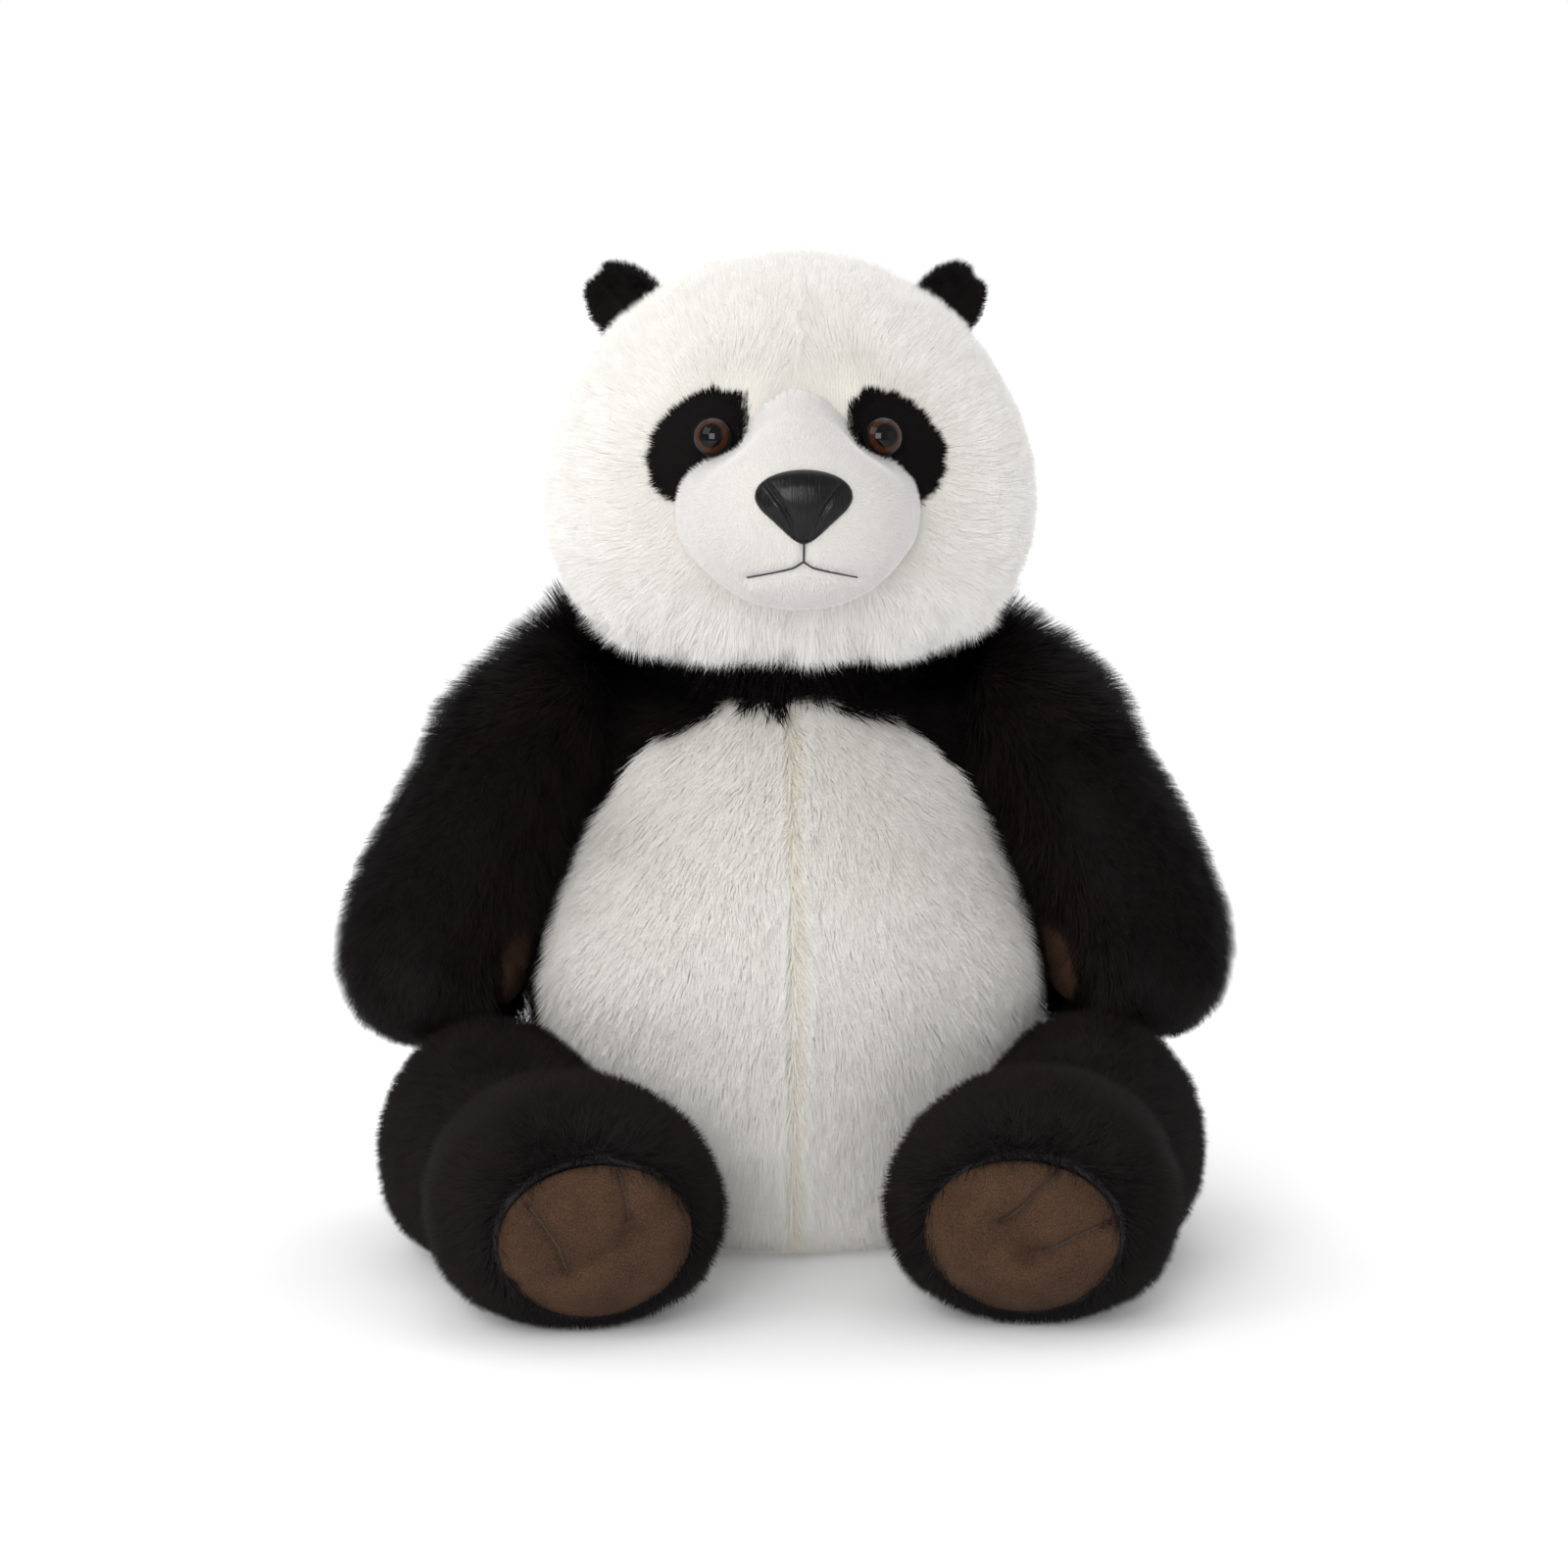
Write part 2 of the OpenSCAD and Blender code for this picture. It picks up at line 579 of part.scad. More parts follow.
tail_root = [0, torso_radius(tail_r, torso_d / 2) + 4.5, tail_r + 4];
tail_spine = [tail_root, tail_root + [0, tail_l * 0.4, 4], tail_root + [0, tail_l * 0.8, 2],
              tail_root + [0, tail_l, -3]];
tail = limb(tail_spine, function(v) tail_r, function(v) tail_r, 0.35, 0.5, 2, 2.2, [0, 0, 1]);
module tail_cover() {
    ring = function(v, h) [for (i = [0:17]) lifted(tail, 20 * i, v, h)];
    color(white) closed_loft(concat([for (v = eased_steps(1 - pole, 0.12, 6)) ring(v, -skin)],
                                    [for (v = eased_steps(0.12, 1 - pole, 6)) ring(v, 0)]));
}
module tail_filling() {
    color("#fbfaf6") filling(tail, inset, 0.16, 0.95, 16, 6);
}

// ---- nodes -------------------------------------------------------------------

seat_panel();
chest_yoke();
back_yoke();
torso_filling();
pellet_bag();
neck_cushion();
head_underside();
head_filling();
chin();
muzzle_filling();
nose();
mouth_thread();
tail_cover();
tail_filling();
for (side = sides) on_side(side) {
    belly_half();
    torso_side();
    back_half();
    head_side();
    head_back();
    muzzle_half();
    eye_patch();
    eye_dome();
    eye_shank();
    eye_washer();
    ear_front();
    ear_back();
    arm_outer();
    arm_inner();
    arm_filling();
    paw_pad();
    leg_outer();
    leg_inner();
    leg_filling();
    sole();
    toe_threads();
}
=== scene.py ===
# %% [markdown]
# # A sitting plush panda
# The toy is sewn from fur fabric over loose filling. The solids of the frame say
# where every piece sits; this lesson makes the visible toy on top of them: the
# stuffed skins, the pile that grows on them, the suede soles and the face.

import math

import bmesh
import bpy
import numpy as np
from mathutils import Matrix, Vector


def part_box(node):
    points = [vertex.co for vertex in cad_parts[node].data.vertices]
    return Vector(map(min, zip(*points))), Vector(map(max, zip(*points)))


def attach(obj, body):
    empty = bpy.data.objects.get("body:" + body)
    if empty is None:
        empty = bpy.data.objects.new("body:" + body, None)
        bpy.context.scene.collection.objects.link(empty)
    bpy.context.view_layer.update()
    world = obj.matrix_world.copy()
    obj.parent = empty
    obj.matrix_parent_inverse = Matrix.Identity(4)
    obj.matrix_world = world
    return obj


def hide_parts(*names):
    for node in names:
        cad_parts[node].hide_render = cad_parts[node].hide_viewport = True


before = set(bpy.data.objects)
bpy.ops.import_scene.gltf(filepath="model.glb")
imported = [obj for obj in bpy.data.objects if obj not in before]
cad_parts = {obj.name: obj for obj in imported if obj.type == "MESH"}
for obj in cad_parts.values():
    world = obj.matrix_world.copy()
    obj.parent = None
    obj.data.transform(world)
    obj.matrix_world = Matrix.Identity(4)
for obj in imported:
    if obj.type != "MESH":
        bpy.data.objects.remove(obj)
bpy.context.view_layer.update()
scene = bpy.context.scene

# %% [markdown]
# ## Camera
# A picture of a toy like this is taken from a little above its nose with a
# mid-long lens, slightly to one side. The camera comes first, because every
# later choice is judged through it.

# %% Camera
mm = 0.001


def aim(thing, at):
    thing.rotation_euler = (Vector(at) - thing.location).to_track_quat("-Z", "Y").to_euler()


camera = bpy.data.objects.new("camera", bpy.data.cameras.new("camera"))
scene.collection.objects.link(camera)
turn, rise = math.radians(-2.6), math.radians(8.0)
away = 1.6
look_at = Vector((-0.0009, 0.0, 0.1885))
camera.location = look_at + away * Vector(
    (math.sin(turn) * math.cos(rise), -math.cos(turn) * math.cos(rise), math.sin(rise))
)
aim(camera, look_at)
camera.data.lens = 85.2
scene.camera = camera
scene.view_settings.view_transform = "Standard"
print("camera at", [round(x, 3) for x in camera.location])

# %% [markdown]
# ## Light and floor
# A soft box near the camera, a little to the left, gives each eye and the nose
# their highlight. A wide light from the upper left models the fur, and a weak one
# from the right opens the shadows. The room is white behind the toy and dimmer
# in front of it, so that glossy parts stay dark beside their highlights.

# %% Light and floor
def soft_light(name, place, size, power, colour, at=(0, -0.02, 0.2)):
    lamp = bpy.data.lights.new(name, "AREA")
    lamp.size, lamp.energy, lamp.color = size, power, colour
    thing = bpy.data.objects.new(name, lamp)
    scene.collection.objects.link(thing)
    thing.location = place
    aim(thing, at)


soft_light("front", (-0.42, -1.65, 0.72), 0.8, 14, (1.0, 1.0, 1.0), (0, -0.1, 0.3))
soft_light("left", (-1.4, -1.3, 1.7), 1.3, 12, (1.0, 0.99, 0.97))
soft_light("right", (1.8, -1.6, 0.9), 1.6, 3, (0.95, 0.94, 1.0))
soft_light("top", (0.1, 0.5, 1.9), 1.3, 4, (1.0, 1.0, 1.0))

world = bpy.data.worlds.new("studio")
scene.world = world
world.use_nodes = True
room = world.node_tree
direction = room.nodes.new("ShaderNodeTexCoord")
split = room.nodes.new("ShaderNodeSeparateXYZ")
depth = room.nodes.new("ShaderNodeMapRange")
room.links.new(direction.outputs["Generated"], split.inputs[0])
room.links.new(split.outputs["Y"], depth.inputs["Value"])
for socket, value in {"From Min": -0.35, "From Max": 0.25, "To Min": 0.55, "To Max": 1.0}.items():
    depth.inputs[socket].default_value = value
room.links.new(depth.outputs[0], room.nodes["Background"].inputs["Strength"])
room.nodes["Background"].inputs["Color"].default_value = (1.0, 1.0, 1.0, 1)

# %% [markdown]
# ## Sockets that do sums
# Materials and growing fur are both sums over numbers that vary across a surface.
# One class wraps a socket, so that a sum written in Python adds its Math nodes.
# The other adds any node: its settings first, then the values of its sockets.

# %% Node helpers
class Value:
    def __init__(self, maker, socket):
        self.maker, self.socket = maker, socket

    def math(self, operation, *others, flip=False):
        terms = [self, *others]
        if flip:
            terms.reverse()
        return self.maker.node("ShaderNodeMath", {"operation": operation}, dict(enumerate(terms)))

    def __add__(self, other):
        return self.math("ADD", other)

    def __sub__(self, other):
        return self.math("SUBTRACT", other)

    def __mul__(self, other):
        return self.math("MULTIPLY", other)

    def __truediv__(self, other):
        return self.math("DIVIDE", other)

    def __pow__(self, other):
        return self.math("POWER", other)

    def __radd__(self, other):
        return self.math("ADD", other)

    def __rmul__(self, other):
        return self.math("MULTIPLY", other)

    def __rsub__(self, other):
        return self.math("SUBTRACT", other, flip=True)

    def above(self, edge, soft):
        """0 below the edge, rising to 1 a soft step past it."""
        return ((self - edge) / soft).math("MINIMUM", 1.0).math("MAXIMUM", 0.0)


class Maker:
    """Adds nodes to one tree."""

    def __init__(self, tree):
        self.tree = tree

    def node(self, kind, settings=None, sockets=None, out=0):
        made = self.tree.nodes.new(kind)
        for key, value in (settings or {}).items():
            setattr(made, key, value)
        for key, value in (sockets or {}).items():
            if isinstance(value, Value):
                self.tree.links.new(value.socket, made.inputs[key])
            else:
                made.inputs[key].default_value = value
        return Value(self, made.outputs[out]) if made.outputs else None

    def vector(self, operation, *terms, **named):
        sockets = {**dict(enumerate(terms)), **named}
        return self.node("ShaderNodeVectorMath", {"operation": operation}, sockets)

    def xyz(self, vector):
        parts = self.node("ShaderNodeSeparateXYZ", {}, {0: vector}).socket.node
        return [Value(self, parts.outputs[i]) for i in range(3)]

    def noise(self, scale, detail=3, vector=None, roughness=0.5, out=0):
        where = self.place() if vector is None else vector
        sockets = {"Vector": where, "Scale": scale, "Detail": detail, "Roughness": roughness}
        return self.node("ShaderNodeTexNoise", {}, sockets, out)


class Paint(Maker):
    """One material."""

    def __init__(self, name):
        self.material = bpy.data.materials.new(name)
        self.material.use_nodes = True
        super().__init__(self.material.node_tree)
        self.shader = self.tree.nodes["Principled BSDF"]

    def place(self):
        return self.node("ShaderNodeTexCoord", out="Object")

    def stretched(self, *stretch):
        return self.node("ShaderNodeMapping", {}, {"Vector": self.place(), "Scale": stretch})

    def mix(self, factor, a, b):
        """Colour a where factor is 0, colour b where it is 1."""
        sockets = {0: factor}
        for slot, colour in ((6, a), (7, b)):
            sockets[slot] = colour if isinstance(colour, Value) else (*colour, 1)
        return self.node("ShaderNodeMix", {"data_type": "RGBA"}, sockets, out=2)

    def bump(self, height, strength, distance):
        sockets = {"Height": height, "Strength": strength, "Distance": distance}
        return self.node("ShaderNodeBump", {}, sockets)

    def finish(self, **inputs):
        for key, value in inputs.items():
            socket = self.shader.inputs[key.replace("_", " ")]
            if isinstance(value, Value):
                self.tree.links.new(value.socket, socket)
            elif isinstance(value, tuple) and len(value) == 3:
                socket.default_value = (*value, 1)
            else:
                socket.default_value = value
        return self.material


paper = Paint("floor_paper")
grain = paper.mix(paper.noise(40, 2), (0.93, 0.93, 0.935), (0.95, 0.95, 0.955))
# The paper glows more the farther it lies behind the toy: painted light that keeps the far floor as white
# as the room.
behind = paper.xyz(paper.place())[1]
painted_glow_share = ((behind + 0.1) * 1.2).math("MINIMUM", 1.0).math("MAXIMUM", 0.0)
painted_glow = paper.mix(painted_glow_share, (0.06, 0.06, 0.06), (0.5, 0.5, 0.5))
floor_paper = paper.finish(Base_Color=grain, Roughness=0.9, Emission_Color=painted_glow, Emission_Strength=1.0)
sheet = bpy.data.meshes.new("floor")
sheet.from_pydata([(-30, -3, 0), (30, -3, 0), (30, 60, 0), (-30, 60, 0)], [], [(0, 1, 2, 3)])
sheet.materials.append(floor_paper)
floor = bpy.data.objects.new("floor", sheet)
scene.collection.objects.link(floor)
print("a floor and four soft lights")

# %% [markdown]
# ## The forms under the fabric
# Every stuffed part is one smooth closed form. The same few formulas drew the
# sewn panels of the frame, so a skin made from them lands exactly on its panels.
# Each formula takes an angle around the part and a share of its length.

# %% Forms of the torso and head
def blend(a, b, t):
    return a + (b - a) * t


def ease(t):
    t = min(max(t, 0.0), 1.0)
    return t * t * (3 - 2 * t)


def signed_power(x, p):
    return math.copysign(abs(x) ** p, x)


torso_half = Vector((103, 95, 239))  # half width, half depth, height, in mm
widest, seat, neck = 105, 72, 50


def torso_radius(z, wide):
    if z < widest:
        return blend(seat, wide, math.sqrt(max(1 - ((widest - z) / widest) ** 2, 0)))
    return blend(neck, wide, 1 - (max(z - widest, 0) / (torso_half.z - widest)) ** 1.9)


def torso_form(angle, share):
    z = share * torso_half.z
    a = math.radians(angle)
    shoulder = 11 * math.exp(-(((z - 218) / 20) ** 2)) * math.cos(a) ** 2
    round_top = math.sqrt(max(1 - max((share - 0.97) / 0.03, 0) ** 2, 0.0))
    return Vector((
        (torso_radius(z, torso_half.x) + shoulder) * math.cos(a) * round_top,
        torso_radius(z, torso_half.y) * math.sin(a) * round_top,
        z,
    ))


head_middle = Vector((0, -25, 313))
head_half, head_down = Vector((96, 85, 97)), 56


def head_form(angle, share):
    a, ring = math.radians(angle), math.sin(math.pi * share)
    upper = math.sin(a) > 0
    p = 1.0 if upper else 2 / 2.6
    return head_middle + Vector((
        head_half.x * ring * signed_power(math.cos(a), p),
        head_half.y * math.cos(math.pi * share),
        (head_half.z if upper else head_down) * ring * signed_power(math.sin(a), p),
    ))


def form_normal(form, angle, share, da=0.5, ds=0.002):
    across = form(angle + da, share) - form(angle - da, share)
    along = form(angle, share + ds) - form(angle, share - ds)
    return across.cross(along).normalized()


print("head spans", [round(x) for x in head_form(0, 0.5)])

# %% [markdown]
# The muzzle is a ball that grows out of an opening in the face. The opening is
# wide below and narrow at the bridge between the eyes.

# %% Form of the muzzle
muzzle_half, muzzle_length, chin_drop = 48, 52, 12
muzzle_upper, muzzle_lower = 0.76, 0.6  # its height above and below, as shares of its half width
muzzle_power = 0.72  # lower is blunter


def opening_ring(angle):
    a = math.radians(angle)
    pinch = 0.26 * math.sin(2 * a) ** 2 + 0.11 * math.sin(a) if math.sin(a) > 0 else 0
    return muzzle_half / head_half.x * (1 - pinch)


def muzzle_form(angle, share):
    a = math.radians(angle)
    share = min(max(share, 0.0), 1.0)
    edge = head_form(angle, 1 - math.asin(opening_ring(angle)) / math.pi)
    high = muzzle_half * (muzzle_upper if math.sin(a) > 0 else muzzle_lower)
    oval = Vector((muzzle_half * math.cos(a), edge.y, head_middle.z + high * math.sin(a)))
    at = edge.lerp(oval, ease(1.4 * share))
    ring = math.cos(math.pi / 2 * share) ** muzzle_power if share < 1 else 0.0
    drop = 1 - chin_drop / (head_down * opening_ring(angle)) * ease(share / 0.3) * min(math.sin(a), 0)
    tip = head_middle.y - head_half.y * math.cos(math.asin(opening_ring(0))) - muzzle_length
    swell = 1 - 0.035 * math.sin(math.pi * min(2 * share, 1))
    return Vector((
        at.x * ring * swell,
        blend(at.y, tip, math.sin(math.pi / 2 * share)),
        head_middle.z + 3 * share + (at.z - head_middle.z) * ring * drop,
    ))


def muzzle_tip(p, q):
    """The muzzle near its tip, by shares of its half width and half height."""
    r = max(math.hypot(p, q), 0.001)
    share = math.acos(min(r, 1) ** (1 / muzzle_power)) / (math.pi / 2)
    return muzzle_form(math.degrees(math.atan2(q, p)), share)


def on_face(p, q):
    """The face by distances in mm to the side and above the widest level."""
    a, b = p / head_half.x, q / head_half.z
    return head_form(math.degrees(math.atan2(b, a)), 1 - math.asin(math.hypot(a, b)) / math.pi)


print("muzzle tip at y =", round(muzzle_form(0, 1).y), "mm")

# %% [markdown]
# Arms, legs and the tail are tubes around a curved spine, rounded at both ends.

# %% Forms of the limbs
def spine_at(spine, t):
    a, b, c, d = spine
    return a * (1 - t) ** 3 + b * 3 * t * (1 - t) ** 2 + c * 3 * t * t * (1 - t) + d * t**3


def spine_slope(spine, t):
    a, b, c, d = spine
    return ((b - a) * (1 - t) ** 2 + (c - b) * 2 * t * (1 - t) + (d - c) * t * t).normalized()


def limb_form(spine, wide, deep, ends, powers, side):
    def form(angle, share):
        share, a = min(max(share, 0.0), 1.0), math.radians(angle)
        along = spine_slope(spine, share)
        b1 = side.cross(along).normalized()
        b2 = along.cross(b1)
        k = 1.0
        for reach, power, gone in ((ends[0], powers[0], share), (ends[1], powers[1], 1 - share)):
            if gone < reach:
                k *= max(1 - ((reach - gone) / reach) ** power, 0) ** (1 / power)
        out = wide(share) * math.cos(a) * b1 + deep(share) * math.sin(a) * b2
        point = spine_at(spine, share) + k * out
        return Vector((point.x, point.y, max(point.z, 0)))

    return form


shoulder = Vector((torso_radius(227, 103) + 27, 6, 229))
arm_spine = [shoulder + Vector(v) for v in ((-12, -2, 18), (18, 2, -1), (64, 0, -77.8), (73, -24, -144))]
arm_form = limb_form(
    arm_spine,
    lambda v: 36 * blend(0.60, 1, ease(v / 0.6)) + 4 * ease((v - 0.45) / 0.4),
    lambda v: 39 * blend(0.68, 1, ease(v / 0.55)),
    (0.20, 0.24), (2, 2.6), Vector((0, 1, 0)),
)
hip = Vector((133, -19, 43))
sole_reach, sole_power = 0.22, 2.6
leg_spine = [hip + Vector(v) for v in ((0, 0, 0), (0, -44.6, 0), (-41.3, -107.9, 0), (-53, -186, 0))]
leg_form = limb_form(
    leg_spine,
    lambda v: blend(42 * blend(0.70, 1, ease(v / 0.3)), 51, ease((v - 0.45) / 0.4)),
    lambda v: 43 * blend(0.80, 1, ease(v / 0.3)),
    (0.14, sole_reach), (2, sole_power), Vector((0, 0, 1)),
)


def bump_at(value, middle, width):
    """1 at the middle, fading to 0 a few widths away from it."""
    return math.exp(-(((value - middle) / width) ** 2))


def leg_skin_form(angle, share):
    """The stuffed leg: a full thigh, a fold at the ankle and a round foot behind the sole."""
    point, middle = leg_form(angle, share), spine_at(leg_spine, min(max(share, 0), 1))
    thigh, ankle, foot = bump_at(share, 0.22, 0.16), bump_at(share, 0.56, 0.07), bump_at(share, 0.78, 0.10)
    swell = 0.18 * thigh - 0.15 * ankle
    swell += 0.06 * foot
    point.z = max(middle.z + (point.z - middle.z) * (1 + swell), 0)
    point.x = middle.x + (point.x - middle.x) * (1 + 0.5 * min(swell, 0.06))
    return point


tail_root = Vector((0, torso_radius(18, 95) + 4.5, 22))
tail_spine = [tail_root + Vector(v) for v in ((0, 0, 0), (0, 16, 4), (0, 32, 2), (0, 40, -3))]
tail_form = limb_form(tail_spine, lambda v: 18, lambda v: 18, (0.35, 0.5), (2, 2.2), Vector((0, 0, 1)))
print("paw ends at", [round(x) for x in arm_spine[3]], "and the sole at", [round(x) for x in leg_spine[3]])

# %% [markdown]
# ## From a form to a closed skin
# Rings of points are joined into a closed mesh. A skin that is stuffed swells
# between its seams, so it then goes through a short cloth simulation: an even
# remesh, air pressure inside, the seams held still, and a cap on how far any
# point may move.

# %% Skin and stuffing
skin_grain = 0.005
air_frames = 18


def skin_mesh(name, form, around, rings, first=0.0, last=1.0, mirror=1):
    shares = [blend(first, last, (1 - math.cos(math.pi * i / rings)) / 2) for i in range(rings + 1)]
    points = [form(360 * j / around, s) for s in shares[1:-1] for j in range(around)]
    ends = [form(0, shares[0]), form(0, shares[-1])]
    if (form(0, shares[0]) - form(180, shares[0])).length > 1:
        rims = [[form(360 * j / around, s) for j in range(around)] for s in (shares[0], shares[-1])]
        ends = [sum(rim, Vector()) / around for rim in rims]
    n, m = around, rings - 1
    faces = [(i * n + j, i * n + (j + 1) % n, (i + 1) * n + (j + 1) % n, (i + 1) * n + j)
             for i in range(m - 1) for j in range(n)]
    faces += [(m * n, (j + 1) % n, j) for j in range(n)]
    faces += [(m * n + 1, (m - 1) * n + j, (m - 1) * n + (j + 1) % n) for j in range(n)]
    mesh = bpy.data.meshes.new(name)
    mesh.from_pydata([(mirror * p.x * mm, p.y * mm, p.z * mm) for p in points + ends], [], faces)
    return tidy_normals(mesh)


def tidy_normals(mesh):
    bm = bmesh.new()
    bm.from_mesh(mesh)
    bmesh.ops.remove_doubles(bm, verts=bm.verts, dist=1e-6)
    bmesh.ops.recalc_face_normals(bm, faces=bm.faces)
    bm.to_mesh(mesh)
    bm.free()
    for face in mesh.polygons:
        face.use_smooth = True
    return mesh


def new_piece(name, mesh, material=None):
    piece = bpy.data.objects.new(name, mesh)
    scene.collection.objects.link(piece)
    if material:
        mesh.materials.clear()
        mesh.materials.append(material)
    return piece


def settled(piece):
    """The piece's mesh with its modifiers worked in, and the modifiers gone."""
    mesh = bpy.data.meshes.new_from_object(piece.evaluated_get(bpy.context.evaluated_depsgraph_get()))
    piece.modifiers.clear()
    old, piece.data = piece.data, mesh
    bpy.data.meshes.remove(old)
    mesh.name = piece.name
    return mesh


def places(mesh):
    flat = np.empty(len(mesh.vertices) * 3, np.float32)
    mesh.vertices.foreach_get("co", flat)
    return flat.reshape(-1, 3)


def stuff(piece, held, cap):
    """Swells a closed skin by up to cap mm between its seams, where held(points) is True."""
    even = piece.modifiers.new("even", "REMESH")
    even.mode, even.voxel_size = "VOXEL", skin_grain
    mesh = settled(piece)
    start = places(mesh).copy()
    group = piece.vertex_groups.new(name="seams")
    group.add([int(i) for i in np.nonzero(held(start / mm))[0]], 1.0, "REPLACE")
    cloth = piece.modifiers.new("air", "CLOTH")
    cloth.settings.quality = 4
    cloth.settings.mass = 0.25
    cloth.settings.use_pressure = True
    cloth.settings.uniform_pressure_force = 4
    cloth.settings.vertex_group_mass = "seams"
    cloth.settings.effector_weights.gravity = 0
    for step in range(1, air_frames + 1):
        scene.frame_set(step)
    mesh = settled(piece)
    moved = places(mesh) - start
    far = np.linalg.norm(moved, axis=1, keepdims=True)
    new = start + moved * np.minimum(1, cap * mm / np.maximum(far, 1e-9))
    new[:, 2] = np.maximum(new[:, 2], 0)
    mesh.vertices.foreach_set("co", new.astype(np.float32).ravel())
    piece.vertex_groups.clear()
    scene.frame_set(1)
    finer = piece.modifiers.new("finer", "SUBSURF")
    finer.levels = finer.render_levels = 1
    mesh = settled(piece)
    for face in mesh.polygons:
        face.use_smooth = True
    print(f"{piece.name}: {len(mesh.polygons)} faces, swelled by up to {float(far.max()) * 1000:.1f} mm")


# %% [markdown]
# Seams run down the belly and the back, over the head, and along both sides of
# each limb. The fabric is held there and swells in between. A sitting toy also
# spreads a little where its belly rests on the filling below.

# %% The stuffed skins
def near(value, width):
    return np.abs(value) < width


torso = new_piece("torso_skin", skin_mesh("torso_skin", torso_form, 72, 48))
stuff(torso, lambda p: near(p[:, 0], 3) | (p[:, 2] < 4) | (p[:, 2] > 232), 4)
head = new_piece("head_skin", skin_mesh("head_skin", head_form, 72, 48))
stuff(head, lambda p: (near(p[:, 0], 3) & (p[:, 2] > 300)) | (p[:, 2] < 262), 3)
skins = {"torso": torso, "head": head}
for side, mirror in (("left", 1), ("right", -1)):
    arm = new_piece(f"arm_skin_{side}", skin_mesh(f"arm_skin_{side}", arm_form, 40, 40, mirror=mirror))
    stuff(arm, lambda p: near(p[:, 1] - 2 + (229 - p[:, 2]) * 0.14, 3) | (p[:, 2] > 240), 3)
    leg = new_piece(f"leg_skin_{side}", skin_mesh(f"leg_skin_{side}", leg_skin_form, 56, 64, mirror=mirror))
    stuff(leg, lambda p: (p[:, 2] < 3) | near(p[:, 1] + 205, 12), 3)
    skins[f"arm_{side}"], skins[f"leg_{side}"] = arm, leg
tail = new_piece("tail_skin", skin_mesh("tail_skin", tail_form, 28, 20))
skins["tail"] = tail
muzzle = new_piece("muzzle_skin", skin_mesh("muzzle_skin", muzzle_form, 144, 84))
skins["muzzle"] = muzzle
belly_level, belly_reach, belly_bulge = 105, 48, 0.070
points = places(torso.data).copy()
points[:, 0] *= 1 + belly_bulge * np.exp(-(((points[:, 2] / mm - belly_level) / belly_reach) ** 2))
torso.data.vertices.foreach_set("co", points.ravel())
print(len(skins), "skins")
